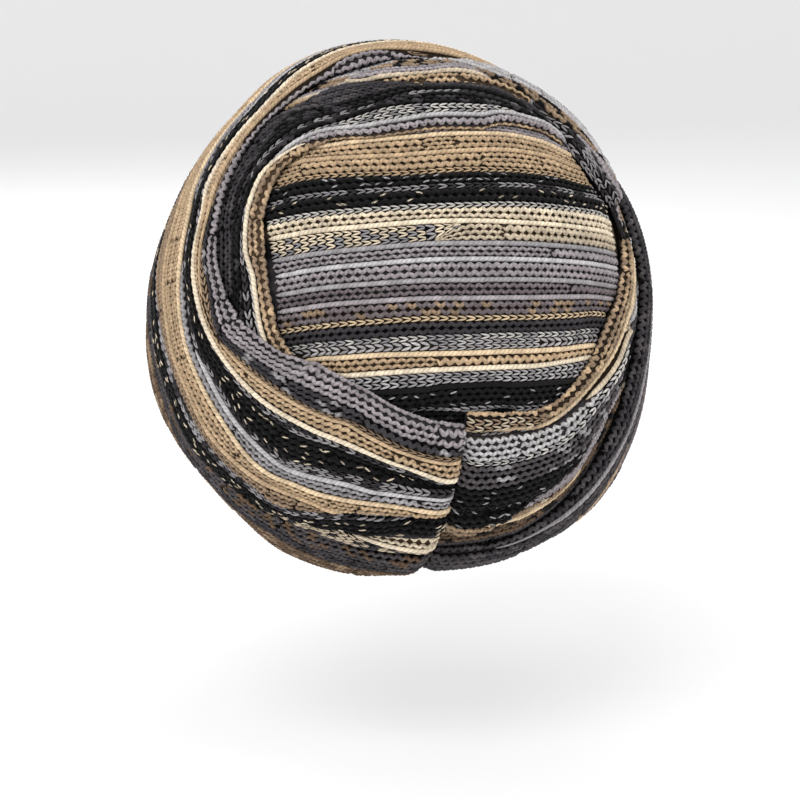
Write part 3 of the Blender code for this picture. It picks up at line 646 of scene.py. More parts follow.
class Yarn(Enum):
    """Colours of the yarns, as red, green and blue out of 255."""

    BLACK = (20, 19, 19)
    CHARCOAL = (62, 59, 62)
    DARK_GREY = (84, 79, 81)
    DARK_LILAC = (118, 108, 110)
    LILAC = (162, 154, 157)
    GREY = (158, 154, 156)
    LIGHT_GREY = (190, 187, 187)
    WHITE = (204, 200, 194)
    CREAM = (236, 220, 194)
    BEIGE = (206, 190, 166)
    LIGHT_TAN = (226, 201, 166)
    TAN = (196, 169, 136)
    TAN_BROWN = (156, 133, 109)
    BROWN = (108, 88, 70)
    DARK_BROWN = (64, 52, 42)

    def linear(self) -> np.ndarray:
        """Return the colour as linear light."""
        share = np.array(self.value, dtype=float) / 255
        return np.where(share < 0.04045, share / 12.92, ((share + 0.055) / 1.055)**2.4)


class Stitch(Enum):
    """The kinds of course in the knit."""

    CORD = "cord"
    LOOPS = "loops"
    CHAIN = "chain"
    SPECKS = "specks"


@dataclass(frozen=True)
class Band:
    """One band of courses between two course lines.

    Args:
        stitch: the kind of course.
        yarn: the colour of its yarn.
        ground: the colour in the gaps behind it: partly the cloth's own colour, partly painted
            shade in the holes of the knit.
        fleck: the colour of single stitches in it.
        often: how often a stitch has that colour, from 0 to 1.
    """

    stitch: Stitch
    yarn: Yarn
    ground: Yarn
    fleck: Yarn | None = None
    often: float = 0.0


@dataclass
class Skein:
    """Yarn tubes gathered into one mesh."""

    sides: int
    points: list[np.ndarray] = field(default_factory=list)
    quads: list[np.ndarray] = field(default_factory=list)
    caps: list[np.ndarray] = field(default_factory=list)
    colours: list[np.ndarray] = field(default_factory=list)
    along: list[np.ndarray] = field(default_factory=list)
    count: int = 0

    def lay(self, paths: np.ndarray, normals: np.ndarray, wide: np.ndarray,
            high: np.ndarray, colours: np.ndarray, run: np.ndarray) -> None:
        """Add tubes along paths.

        Args:
            paths: middle lines, by tube, station and axis.
            normals: normals of the cloth there.
            wide: half widths by tube and station.
            high: half heights by tube and station.
            colours: linear colours by tube, station and channel.
            run: lengths along the yarn, by tube and station.
        """
        tubes, stations, _ = paths.shape
        if not tubes or stations < 2:
            return
        along = unit(np.gradient(paths, axis=1))
        side = unit(np.cross(normals, along))
        up = unit(np.cross(along, side))
        turn = np.arange(self.sides) * 2 * np.pi / self.sides
        spot = (paths[:, :, None] + (wide[..., None] * np.cos(turn))[..., None] * side[:, :, None]
                + (high[..., None] * np.sin(turn))[..., None] * up[:, :, None])
        index = self.count + np.arange(tubes * stations * self.sides)
        index = index.reshape(tubes, stations, self.sides)
        nxt = np.roll(index, -1, axis=2)
        quads = np.stack((index[:, :-1], nxt[:, :-1], nxt[:, 1:], index[:, 1:]), axis=-1)
        self.points.append(spot.reshape(-1, 3))
        self.quads.append(quads.reshape(-1, 4))
        self.caps.append(index[:, 0, ::-1])
        self.caps.append(index[:, -1])
        self.colours.append(np.repeat(colours.reshape(-1, 3), self.sides, axis=0))
        self.along.append(np.repeat(run.reshape(-1), self.sides))
        self.count += index.size

    def make(self, name: str, material: bpy.types.Material) -> bpy.types.Object:
        """Return one object with all tubes, their colours and their strand map."""
        points = np.concatenate(self.points)
        quads, caps = np.concatenate(self.quads), np.concatenate(self.caps)
        loops = np.concatenate((quads.ravel(), caps.ravel()))
        sizes = np.concatenate((np.full(len(quads), 4), np.full(len(caps), self.sides)))
        made = mesh_from(name, points, loops, sizes, material)
        tint(made, np.concatenate(self.colours))
        along = np.concatenate(self.along)[loops]
        around = (loops % self.sides) / self.sides
        corner = around[:quads.size].reshape(-1, 4)
        corner[:, 1] = corner[:, 0] + 1 / self.sides
        corner[:, 2] = corner[:, 1]
        corner[:, 3] = corner[:, 0]
        around[:quads.size] = corner.ravel()
        strand = made.data.uv_layers.new(name="strand")
        strand.data.foreach_set("uv", np.stack((along, around), axis=1).astype(np.float32).ravel())
        return made


def mesh_from(name: str, points: np.ndarray, loops: np.ndarray, sizes: np.ndarray,
              material: bpy.types.Material) -> bpy.types.Object:
    """Return an object made from points and the corners of its faces.

    Args:
        name: the name of the piece.
        points: its points.
        loops: the corners of all faces, one face after another.
        sizes: how many corners each face has.
        material: its finish.

    Returns:
        The object, smooth shaded and linked to the scene.
    """
    mesh = bpy.data.meshes.new(name)
    mesh.vertices.add(len(points))
    mesh.vertices.foreach_set("co", points.astype(np.float32).ravel())
    mesh.loops.add(len(loops))
    mesh.loops.foreach_set("vertex_index", loops.astype(np.int32))
    mesh.polygons.add(len(sizes))
    starts = np.concatenate(((0,), np.cumsum(sizes)[:-1]))
    mesh.polygons.foreach_set("loop_start", starts.astype(np.int32))
    mesh.update(calc_edges=True)
    mesh.shade_smooth()
    mesh.materials.append(material)
    thing = bpy.data.objects.new(name, mesh)
    bpy.context.scene.collection.objects.link(thing)
    return thing


def tint(thing: bpy.types.Object, colours: np.ndarray) -> None:
    """Store a linear colour for each point of a piece."""
    layer = thing.data.color_attributes.new(name="yarn", type="FLOAT_COLOR", domain="POINT")
    full = np.concatenate((colours, np.ones((len(colours), 1))), axis=1)
    layer.data.foreach_set("color", full.astype(np.float32).ravel())


# Where the crown panel's bands start and end, in mm below its middle.
PANEL_ENDS = (-85.0, 75.0)


@dataclass(frozen=True)
class CrownFace(ClothFace):
    """The cap's outer face, charted on the flat panel that is seen from behind.

    Args:
        behind: how far the face lies behind the form, in metres.
        guess: a first guess of its distance from the middle.
        tries: how often the guess is bettered.
        over: how far the bands run past the panel's edge, in degrees.
    """

    behind: float = 0.007
    guess: float = 0.11
    tries: int = 8
    over: float = 14.0

    def locate(self, along: np.ndarray, across: np.ndarray) -> Place:
        """Return ring and fall angles of panel places, in mm to the left and down."""
        ring = np.degrees(np.arctan2(along, across))
        reach = np.hypot(along, across) / 1000
        fall = np.degrees(reach / self.guess)
        for _ in range(self.tries):
            far = FORM.radius(FORM.direction(ring, fall)) - self.behind
            fall = np.degrees(np.arcsin(np.clip(reach / far, 0, 0.95)))
        return ring, fall

    def chart_place(self, ring: np.ndarray, fall: np.ndarray) -> Place:
        """Return panel places of ring and fall angles."""
        far = 1000 * (FORM.radius(FORM.direction(ring, fall)) - self.behind)
        far = far * np.sin(np.radians(fall))
        return far * np.sin(np.radians(ring)), far * np.cos(np.radians(ring))

    def edges(self, along: np.ndarray) -> Place:
        """Return the panel's edges."""
        return self.limits(along)

    def limits(self, along: np.ndarray) -> Place:
        """Return how far the panel's bands may run."""
        return np.full(along.shape, PANEL_ENDS[0]), np.full(along.shape, PANEL_ENDS[1])

    def inside(self, ring: np.ndarray, fall: np.ndarray) -> np.ndarray:
        """Return where the panel's bands may show."""
        turned = (ring + 180) % 360 - 180
        edge = read(CROWN_EDGE, "fall", turned) + self.over
        return (fall < edge) & self.pressing.shown(self.layer, ring, fall)


@dataclass(frozen=True)
class WrapFace(ClothFace):
    """The outer face of a wrap, charted by ring and fall angles.

    Args:
        deepest: how far the bands may run over an edge, in degrees.
        short: how far above the layer below they end, in metres.
    """

    deepest: float = 3.2
    short: float = 0.0004

    def locate(self, along: np.ndarray, across: np.ndarray) -> Place:
        """Return the angles as they are."""
        return along, across

    def chart_place(self, ring: np.ndarray, fall: np.ndarray) -> Place:
        """Return the angles in the wrap's own run."""
        return self.layer.turn(ring), fall

    def point(self, ring: np.ndarray, fall: np.ndarray, lift: Lift = 0.0) -> np.ndarray:
        """Return points on the face; past its edges the face turns down to the layer below."""
        held = np.clip(fall, *self.edges(self.layer.turn(ring)))
        down = np.radians(np.abs(fall - held)) * FORM.radius(FORM.direction(ring, held))
        low = self.pressing.inner_at(self.layer, ring, held) + BULK.wrap_wall
        high = np.maximum(self.pressing.outer_at(self.layer, ring, held), low) - down
        return FORM.place(ring, held, high + lift)

    def edges(self, along: np.ndarray) -> Place:
        """Return the wrap's edges."""
        return self.layer.edges(along)

    def limits(self, along: np.ndarray) -> Place:
        """Return how far the bands run: over the edges and down to the layer below."""
        found = []
        for edge, way in zip(self.edges(along), (-1, 1)):
            top = self.pressing.outer_at(self.layer, along, edge)
            wall = top - self.pressing.inner_at(self.layer, along, edge) - self.short
            far = FORM.radius(FORM.direction(along, edge))
            found.append(edge + way * np.clip(np.degrees(wall / far), 0, self.deepest))
        return found[0], found[1]

    def inside(self, ring: np.ndarray, fall: np.ndarray) -> np.ndarray:
        """Return where the wrap isn't hidden by others."""
        return self.pressing.shown(self.layer, ring, fall)


AnyFace = CrownFace | WrapFace


@dataclass(frozen=True)
class Chart:
    """Where the bands of one layer run, from its inner edge outward.

    The first band starts and the last one ends at the limits of the face.

    Args:
        bands: the bands in order.
        lines: for each station its place along, and where each band but the last ends.
        shares: whether places across are shares of the layer's width.
    """

    bands: tuple[Band, ...]
    lines: tuple[tuple[float, ...], ...] = ()
    shares: bool = False

    def edge(self, number: int, along: np.ndarray, edges: Place, limits: Place) -> np.ndarray:
        """Return a course line, kept between the limits of the face.

        Args:
            number: 0 for the first band's start, 1 for its end, and so on.
            along: places along the layer.
            edges: the layer's edges there.
            limits: how far its bands run there.

        Returns:
            Places across the layer.
        """
        if number == 0:
            return limits[0]
        if number == len(self.bands):
            return limits[1]
        grid = np.array(self.lines, dtype=float)
        line = read({"ring": grid[:, 0], "line": grid[:, number]}, "line", along)
        if self.shares:
            line = edges[0] + line * (edges[1] - edges[0])
        return np.clip(line, *limits)

    def ground(self, along: np.ndarray, across: np.ndarray, face: AnyFace) -> np.ndarray:
        """Return the linear ground colour at each place."""
        edges, limits = face.edges(along), face.limits(along)
        colour = np.tile(self.bands[0].ground.linear(), (along.size, 1))
        for k, band in enumerate(self.bands[1:], start=1):
            colour[across > self.edge(k, along, edges, limits)] = band.ground.linear()
        return colour


@dataclass(frozen=True)
class Strip:
    """One part of a band that has the same number of rows all along.

    Args:
        along: places along the layer, by station.
        low: where the band starts across the layer.
        high: where it ends.
        width: how wide it is, in metres.
        run: lengths along it, in metres.
    """

    along: np.ndarray
    low: np.ndarray
    high: np.ndarray
    width: np.ndarray
    run: np.ndarray

    @property
    def length(self) -> float:
        """The length of the part."""
        return self.run[-1]

    def row_height(self, run: np.ndarray, count: int = 1) -> np.ndarray:
        """Return the height of one of a number of rows, at lengths along the part."""
        return np.interp(run, self.run, self.width) / count

    def locate(self, run: np.ndarray, share: np.ndarray) -> Place:
        """Return places on the layer, at lengths along the part and shares across it."""
        low = np.interp(run, self.run, self.low)
        across = low + share * (np.interp(run, self.run, self.high) - low)
        return np.interp(run, self.run, self.along), across


@dataclass(frozen=True)
class Tube:
    """Section of a yarn.

    Args:
        share: half its size, in shares of the height of its row.
        least: the least half size, in metres.
        most: the greatest half size, in metres.
        wide: how much wider than that it is.
        high: how much higher than that it is.
    """

    share: float
    least: float
    most: float
    wide: float = 1.0
    high: float = 1.0

    def half(self, height: np.ndarray) -> np.ndarray:
        """Return half sizes in rows of a height."""
        return np.clip(self.share * height, self.least, self.most)


@dataclass(frozen=True)
class CordShape:
    """A raised cord: its station step in metres, and shares of a stitch or of its size."""

    tube: Tube = Tube(0.45, 0.0004, 0.00112, high=0.92)
    step: float = 0.0014
    stitch: float = 0.62
    swell: float = 0.10
    lift: float = 0.55


@dataclass(frozen=True)
class LoopShape:
    """A row of wavy loops; pairs of values are for the raised and the deeper rows.

    Args:
        tube: the yarn.
        stations: how many stations a stitch has.
        starts: where the wave starts, in stitches.
        stray: how far from there it may start by chance.
        lean: how far the loops bulge along the row, in stitches.
        wave: how far they swing across it, in shares of its height.
        tallest: the row height from which the swing grows no more, in metres.
        lifts: heights over the face, in shares of the yarn's size.
        bob: how far the yarn goes up and down, in metres.
        shades: how light the yarn is; the deeper rows are darkened as painted shade.
    """

    tube: Tube = Tube(0.285, 0.0003, 0.00088, wide=1.12)
    stations: int = 6
    starts: tuple[float, float] = (0.0, 0.5)
    stray: float = 0.04
    lean: float = 0.12
    wave: float = 0.30
    tallest: float = 0.0040
    lifts: tuple[float, float] = (0.75, 0.45)
    bob: float = 0.00020
    shades: tuple[float, float] = (1.0, 0.88)


@dataclass(frozen=True)
class SpeckShape:
    """A short slanting stitch on a row of loops.

    Args:
        tube: the yarn.
        leaf: its size at each station.
        length: its length, in metres.
        stray: how far from its place it may lie, in stitches.
        slant: how far it runs across the row, in shares of its height.
        lifts: heights over raised and deeper rows, in shares of the loops' size.
        shades: the darkest and the lightest shade.
    """

    tube: Tube = Tube(0.15, 0.00028, 0.00042)
    leaf: tuple[float, ...] = (0.4, 0.9, 1.0, 0.9, 0.4)
    length: float = 0.0026
    stray: float = 0.3
    slant: float = 0.30
    lifts: tuple[float, float] = (1.60, 1.30)
    shades: tuple[float, float] = (0.35, 1.0)


@dataclass(frozen=True)
class ChainShape:
    """A row of chevrons, each of two legs.

    Args:
        tube: the yarn.
        leaf: its size at each station of a leg.
        way: 1 or -1, which way the chevrons point along the layer.
        ahead: how far past the stitch's middle a leg starts, in stitches.
        length: how long it is, in stitches.
        inner: how far from the row's middle it starts, in shares of its height.
        spread: how far out it runs from there.
        bend: how it bends on the way.
        lift: its height over the face, in shares of its size.
        clear: how much higher than that it lies, in metres.
    """

    tube: Tube = Tube(0.17, 0.0003, 0.00062, high=0.9)
    leaf: tuple[float, ...] = (0.35, 0.85, 1.0, 0.95, 0.7, 0.3)
    way: int = -1
    ahead: float = 0.62
    length: float = 1.05
    inner: float = 0.05
    spread: float = 0.36
    bend: float = 0.8
    lift: float = 0.6
    clear: float = 0.00015


CORD, LOOP, SPECK, LEG = CordShape(), LoopShape(), SpeckShape(), ChainShape()
TUBE_SIDES = {Stitch.CORD: 6, Stitch.LOOPS: 5, Stitch.CHAIN: 4}


@dataclass
class Courses:
    """Lays the yarns of a chart on the face of one layer.

    Args:
        name: the first part of the pieces' names.
        face: the face that carries them.
        chart: its bands.
        span: the first and last place along the layer.
        seed: the start of the chance colours.
        row_width: the height of a row, in metres.
        pitch: the length of a stitch.
        stations: how many stations a band has.
        look_at: shares across a band where it is looked at whether it shows.
        most_rows: the most rows a band has.
        thinnest: the least width of a band.
        shortest: the least length of a part with its own number of rows.
        least: the least length of any part.
        dye: the darkest and the lightest shade that a stitch gets by chance.
        fewest: the fewest stations of a cord or a row of loops.
        tip: how thin a yarn gets at its end.
        most_points: how many points a piece may have before a new one starts.
    """

    name: str
    face: AnyFace
    chart: Chart
    span: tuple[float, float]
    seed: int
    row_width: float = 0.0027
    pitch: float = 0.0037
    stations: int = 900
    look_at: tuple[float, ...] = (0.12, 0.88)
    most_rows: int = 40
    thinnest: float = 0.0009
    shortest: float = 0.010
    least: float = 0.0025
    dye: tuple[float, float] = (0.80, 1.16)
    fewest: int = 3
    tip: float = 0.15
    most_points: int = 85000

    def __post_init__(self) -> None:
        """Start the random numbers and the skeins."""
        self.random = np.random.default_rng(self.seed)
        self.skeins: dict[Stitch, list[Skein]] = {kind: [] for kind in Stitch}

    def skein(self, kind: Stitch) -> Skein:
        """Return the skein that new yarns of a kind go in."""
        made = self.skeins[kind]
        if not made or made[-1].count > self.most_points:
            made.append(Skein(TUBE_SIDES[kind]))
        return made[-1]

    def lay_all(self) -> None:
        """Lay the yarns of every band."""
        along = np.linspace(*self.span, self.stations)
        edges, limits = self.face.edges(along), self.face.limits(along)
        for k, band in enumerate(self.chart.bands):
            low = self.chart.edge(k, along, edges, limits)
            high = self.chart.edge(k + 1, along, edges, limits)
            middle = self.face.point(*self.face.locate(along, (low + high) / 2))
            ends = [self.face.point(*self.face.locate(along, line)) for line in (low, high)]
            width = sum(np.linalg.norm(end - middle, axis=1) for end in ends)
            run = np.cumsum(np.append(0, np.linalg.norm(np.diff(middle, axis=0), axis=1)))
            shown = self.face.inside(*self.face.locate(along, (low + high) / 2))
            for share in self.look_at:
                shown |= self.face.inside(*self.face.locate(along, low + share * (high - low)))
            count = np.clip(np.rint(width / self.row_width), 1, self.most_rows).astype(int)
            if band.stitch is Stitch.CORD:
                count[:] = 1
            count[~shown | (width < self.thinnest)] = 0
            count = self.settle(count, run)
            for first, last in self.pieces_of(count):
                if run[last] - run[first] < self.least:
                    continue
                part = slice(first, last + 1)
                self.lay_band(band, int(count[first]),
                              Strip(along[part], low[part], high[part], width[part],
                                    run[part] - run[first]))

    def settle(self, count: np.ndarray, run: np.ndarray) -> np.ndarray:
        """Return row counts without short parts between longer ones.

        Args:
            count: how many rows there are at each station.
            run: lengths along the band.

        Returns:
            The counts, where each short part has its neighbour's count.
        """
        count = count.copy()
        for first, last in self.pieces_of(count):
            before, after = count[max(first - 1, 0)], count[last]
            if run[last] - run[first] < self.shortest and max(before, after) > 0:
                count[first:last] = before if before > 0 else after
        return count

    @staticmethod
    def pieces_of(count: np.ndarray) -> list[tuple[int, int]]:
        """Return first and last stations of the parts that have the same rows."""
        cuts = np.flatnonzero(np.diff(count)) + 1
        starts, stops = np.append(0, cuts), np.append(cuts, len(count)) - 1
        last = len(count) - 1
        return [(a, min(b + 1, last)) for a, b in zip(starts, stops) if count[a] > 0]

    def lay_band(self, band: Band, count: int, strip: Strip) -> None:
        """Lay one part of a band.

        Args:
            band: its stitch and colours.
            count: how many rows it has.
            strip: the part.
        """
        for row in range(count):
            if band.stitch is Stitch.CORD:
                self.lay_cord(band, strip)
            elif band.stitch is Stitch.CHAIN:
                self.lay_chain(band, strip, row, count)
            else:
                self.lay_loops(band, strip, row, count)
                if band.stitch is Stitch.SPECKS:
                    self.lay_specks(band, strip, row, count)

    def shade(self, band: Band, stitches: np.ndarray) -> np.ndarray:
        """Return the colour of numbered stitches, with chance flecks."""
        total = int(stitches.max()) + 2
        flecked = self.random.random(total) < band.often
        colour = np.tile(band.yarn.linear(), (total, 1))
        if band.fleck is not None and band.stitch is not Stitch.SPECKS:
            colour[flecked] = band.fleck.linear()
        colour = colour * self.random.uniform(*self.dye, (total, 1))
        return colour[np.clip(stitches, 0, total - 1)]

    def put(self, kind: Stitch, tube: Tube, strip: Strip, run: np.ndarray, share: np.ndarray,
            lift: np.ndarray, half: np.ndarray, colour: np.ndarray) -> None:
        """Lay tubes at lengths and shares across a strip.

        Args:
            kind: the stitch, which picks the skein.
            tube: the section of the yarn.
            strip: the band's part.
            run: lengths along the band, by tube and station.
            share: places across it from 0 to 1.
            lift: heights over the face.
            half: half sizes of the yarn.
            colour: linear colours.
        """
        ring, fall = self.face.locate(*strip.locate(run, share))
        normal = self.face.normal(ring, fall)
        path = self.face.point(ring, fall) + lift[..., None] * normal
        seen = self.face.inside(ring, fall)
        wide, high = half * tube.wide, half * tube.high
        if kind is Stitch.CHAIN:
            keep = seen.all(axis=1)
            if keep.any():
                self.skein(kind).lay(path[keep], normal[keep], wide[keep], high[keep],
                                     colour[keep], run[keep])
            return
        for first, last in self.pieces_of(seen[0].astype(int)):
            if last - first < self.fewest:
                continue
            part = slice(first, last + 1)
            station = np.arange(last - first + 1)
            fade = np.sqrt(np.clip(np.minimum(station, station[::-1]) / 2, self.tip, 1))
            self.skein(kind).lay(path[:, part], normal[:, part], wide[:, part] * fade,
                                 high[:, part] * fade, colour[:, part], run[:, part])

    def lay_cord(self, band: Band, strip: Strip) -> None:
        """Lay one raised cord."""
        stitch = self.pitch * CORD.stitch
        run = np.arange(0, strip.length, CORD.step)[None]
        swell = 1 + CORD.swell * np.cos(2 * np.pi * run / stitch)
        half = CORD.tube.half(strip.row_height(run)) * swell
        colour = self.shade(band, np.floor(run / stitch).astype(int))
        middle = np.full(run.shape, 0.5)
        self.put(Stitch.CORD, CORD.tube, strip, run, middle, CORD.lift * half, half, colour)

    def lay_loops(self, band: Band, strip: Strip, row: int, count: int) -> None:
        """Lay one row of wavy loops; every other row lies deeper."""
        odd = row % 2
        turn = self.random.uniform(-LOOP.stray, LOOP.stray) + LOOP.starts[odd]
        base = np.arange(0, strip.length, self.pitch / LOOP.stations)[None]
        phase = 2 * np.pi * (base / self.pitch + turn)
        run = np.clip(base + LOOP.lean * self.pitch * np.sin(2 * phase), 0, strip.length)
        height = strip.row_height(run, count)
        swing = LOOP.wave * np.minimum(height, LOOP.tallest) * np.sin(phase)
        share = (row + 0.5) / count + swing / np.maximum(height * count, 1e-4)
        half = LOOP.tube.half(height)
        lift = half * LOOP.lifts[odd] + LOOP.bob * np.cos(2 * phase)
        stitch = np.floor(base / self.pitch + turn).astype(int)
        # Deeper rows get a darker colour: painted shade.
        colour = self.shade(band, stitch) * LOOP.shades[odd]
        self.put(Stitch.LOOPS, LOOP.tube, strip, run, share, lift, half, colour)

    def lay_specks(self, band: Band, strip: Strip, row: int, count: int) -> None:
        """Lay short slanting pale stitches here and there on a row of loops."""
        spots = np.arange(0.5, strip.length / self.pitch - 0.5) * self.pitch
        spots = spots[self.random.random(spots.size) < band.often]
        if not spots.size:
            return
        step = np.linspace(-0.5, 0.5, len(SPECK.leaf))[None]
        stray = self.random.uniform(-SPECK.stray, SPECK.stray, (spots.size, 1))
        run = np.clip(spots[:, None] + self.pitch * stray + SPECK.length * step, 0, strip.length)
        height = strip.row_height(run, count)
        slant = self.random.choice((-SPECK.slant, SPECK.slant), (spots.size, 1))
        share = (row + 0.5 + slant * step) / count
        half = SPECK.tube.half(height) * np.array(SPECK.leaf)
        colour = np.tile(band.fleck.linear(), (spots.size, step.size, 1))
        colour = colour * self.random.uniform(*SPECK.shades, (spots.size, 1, 1))
        top = LOOP.tube.half(height) * SPECK.lifts[row % 2]
        self.put(Stitch.CHAIN, SPECK.tube, strip, run, share, top, half, colour)

    def lay_chain(self, band: Band, strip: Strip, row: int, count: int) -> None:
        """Lay one row of chevrons, two leaf-shaped legs to a stitch."""
        total = int(np.ceil(strip.length / self.pitch))
        starts = np.repeat((np.arange(total) + 0.5) * strip.length / total, 2)
        sides = np.tile((-1.0, 1.0), total)
        step = np.linspace(0, 1, len(LEG.leaf))[None]
        run = starts[:, None] + LEG.way * self.pitch * (LEG.ahead - LEG.length * step)
        run = np.clip(run, 0, strip.length)
        out = LEG.inner + LEG.spread * step**LEG.bend
        share = (row + 0.5 + sides[:, None] * out) / count
        half = LEG.tube.half(strip.row_height(run, count)) * np.array(LEG.leaf)
        lift = LEG.lift * half + LEG.clear
        stitch = np.repeat(np.repeat(np.arange(total), 2)[:, None], step.size, axis=1)
        self.put(Stitch.CHAIN, LEG.tube, strip, run, share, lift, half, self.shade(band, stitch))

    def make(self, material: bpy.types.Material) -> list[bpy.types.Object]:
        """Return the yarns of this layer as pieces."""
        self.lay_all()
        return [skein.make(f"{self.name}_{kind.value}_{k}", material)
                for kind, skeins in self.skeins.items() for k, skein in enumerate(skeins, start=1)
                if skein.points]


def loops(yarn: Yarn, ground: Yarn, fleck: Yarn | None = None, often: float = 0.0) -> Band:
    """Return a band of loops."""
    return Band(Stitch.LOOPS, yarn, ground, fleck, often)


def specks(fleck: Yarn, often: float) -> Band:
    """Return a band of black loops with single pale stitches."""
    return Band(Stitch.SPECKS, Yarn.BLACK, Yarn.BLACK, fleck, often)


def cord(yarn: Yarn, ground: Yarn = Yarn.DARK_BROWN) -> Band:
    """Return a raised cord; its dark ground shows along its edges as painted shade."""
    return Band(Stitch.CORD, yarn, ground)


def chain(yarn: Yarn, ground: Yarn, fleck: Yarn | None = None, often: float = 0.0) -> Band:
    """Return rows of chevrons."""
    return Band(Stitch.CHAIN, yarn, ground, fleck, often)


# The yarns by their own names, in the order of their class.
(BLACK, CHARCOAL, DARK_GREY, DARK_LILAC, LILAC, GREY, LIGHT_GREY, WHITE, CREAM, BEIGE,
 LIGHT_TAN, TAN, TAN_BROWN, BROWN, DARK_BROWN) = Yarn

LEFT_OUTER_CHART = Chart(
    bands=(
        loops(LILAC, CHARCOAL), loops(CHARCOAL, BLACK, GREY, 0.15), chain(TAN_BROWN, DARK_BROWN),
        cord(TAN), loops(TAN, BROWN), cord(CREAM), chain(GREY, BLACK, CHARCOAL, 0.45),
        specks(CREAM, 0.30), chain(GREY, BLACK, CHARCOAL, 0.55), cord(LIGHT_GREY, CHARCOAL),
        loops(GREY, CHARCOAL), cord(LIGHT_TAN), loops(TAN, BROWN), cord(TAN),
        loops(TAN_BROWN, DARK_BROWN), chain(GREY, BLACK, CHARCOAL, 0.45), specks(CREAM, 0.30),
        chain(BEIGE, BLACK, CHARCOAL, 0.5), loops(CREAM, BROWN), cord(CREAM),
        chain(BEIGE, BLACK, CHARCOAL, 0.4), loops(DARK_GREY, BLACK, BROWN, 0.3),
        loops(CHARCOAL, BLACK, DARK_GREY, 0.4), loops(BROWN, BLACK, TAN_BROWN, 0.35),
    ),
    lines=(
        (5, 37, 39, 39.8, 40.7, 43.5, 44.7, 45.4, 46.4, 47.7, 48.6, 50.5, 51.7, 52.6, 52.8,
         53, 53.5, 57.4, 59.3, 61.6, 62.8, 64.8, 70, 73),
        (10, 37.2, 38.8, 39.8, 40.6, 43.1, 44.3, 45.4, 46.4, 47.7, 48.5, 50.4, 51.6, 52.8, 53,
         53.2, 53.6, 57.6, 59.4, 61.7, 62.8, 64.6, 70, 73),
        (15, 37.1, 38.9, 39.8, 40.6, 42.6, 43.6, 44.6, 46.6, 48, 48.8, 50.6, 51.6, 53.6, 53.8,
         54, 55, 58, 59.8, 61.8, 62.8, 65.1, 70.2, 73.5),
        (20, 37, 39, 39.8, 40.6, 42.4, 43.3, 44.6, 46.8, 48.6, 49.6, 51.2, 52.4, 54.8, 55,
         55.3, 57, 61, 61.5, 62, 62.9, 66.1, 70.5, 75),
        (25, 37.5, 39, 40, 40.8, 42.7, 43.6, 45, 48, 50, 51, 52.9, 54, 57, 57.1, 57.3, 59,
         62.9, 63, 63.1, 63.3, 66.8, 71.5, 76),
        (30, 37.5, 39.2, 40.1, 41, 43, 44, 45.5, 49, 51, 52.2, 54.9, 56.2, 59.6, 60.6, 60.7,
         62.7, *4 * (66,), 68.4, 74, 77),
        (35, 37.8, 39.5, 40.5, 41.4, 43.6, 44.8, 46.3, 51, 53.1, 54.4, 57.2, 58.8, 60.8, 62,
         64.5, 67, *4 * (69,), 70.4, 75, 78),
        (40, 38, 40.3, 41, 41.8, 44.8, 46, 47.5, 53.8, 56, 57.3, 59.5, 61, 63.3, 64.6, 68.5,
         70.4, *4 * (73,), 73.5, 77, 80),
        (45, 39, 42.2, 43, 43.8, 46.5, 48, 50, 56.8, 58.9, 60, 62.5, 64.2, 66.3, 67.6, 70, 72,
         *4 * (75.3,), 75.5, 79.5, 82.5),
        (50, 40.5, 44.3, 45, 45.9, 48.4, 50, 52.5, 58.5, 60.2, 61.6, 64.5, 66, 68.8, 70, 72.5,
         74.5, *5 * (78,), 81, 84),
        (60, 45, 48.4, 49.5, 50.4, 53.1, 54.8, 56.3, 61.8, 63.1, 64.4, 66.2, 68, 72.8, 74.6,
         76.6, 79.6, *5 * (84,), 87, 90),
        (70, 51, 53.7, 55, 55.9, 57.6, 59, 60, 64.2, 65.5, 66.8, 68.9, 70.8, 75.3, 77, 79.5,
         82.5, *5 * (87.5,), 90, 92.5),
        (80, 58, 60, 60.6, 61, 61.8, 63.1, 64, 68, 69.2, 69.6, 71.5, 73.2, 78.5, 80.5, 83, 86,
         *5 * (91,), 94, 97),
        (90, 60, 61, 63.4, 63.9, 64.6, 66.2, 67, 69.5, 70, 70.4, 72.2, 74.2, 80.2, 82.2, 86,
         88, *5 * (93,), 97, 101),
        (100, 63.5, 64.8, 65.4, 66.2, 67.6, 68.7, 69.6, 72, 72.8, 73, 73.4, 75.2, 82.3, 85,
         90, 92, *5 * (97,), 102, 107),
        (110, 65.2, 66.2, 66.6, 67.6, 69.2, 70.2, 72, 74.2, 75, 75, 75.4, 77.5, 83.5, 87, 92,
         94.5, *5 * (99.5,), 105, 111),
        (120, 67, 67.6, 68.4, 70, 72.5, 74, 75.5, 78, 79.5, 79.8, 80.5, 82.5, 88.5, 90.5, 95,
         97.5, *5 * (102,), 108, 114),
        (140, 68.2, 68.4, 68.8, 70, 71.5, 73, 74.5, 78.5, 80, 80.6, 82.5, 84.2, 89.5, 91.5,
         96, 98.5, *5 * (103,), 109, 115),
        (160, 67, 67.1, 67.3, 68.3, 72, 73.4, 74.8, 79.2, 80.7, 81.8, 84.8, 86.2, 91, 92.7,
         96.7, 98.5, *5 * (103.2,), 108.5, 114),
        (180, 67, 67.1, 67.4, 68.6, 72.5, 74, 75.5, 80, 81.5, 83, 86, 87.5, 92, 93.5, 97,
         98.5, *5 * (103,), 107, 112),
        (210, 70.1, 70.2, 70.4, 71.2, 75, 76.4, 77.6, 82, 83.3, 84.6, 87.5, 89, 93, 94.5, 97,
         98.5, *5 * (103,), 107, 112),
        (236, 71.6, 71.7, 71.9, 72.7, 76.5, 77.9, 79.1, 83.5, 84.8, 86.1, 89, 90.5, 94.5, 96,
         98.5, 100, *5 * (104.5,), 108.5, 113.5),
    ),
)

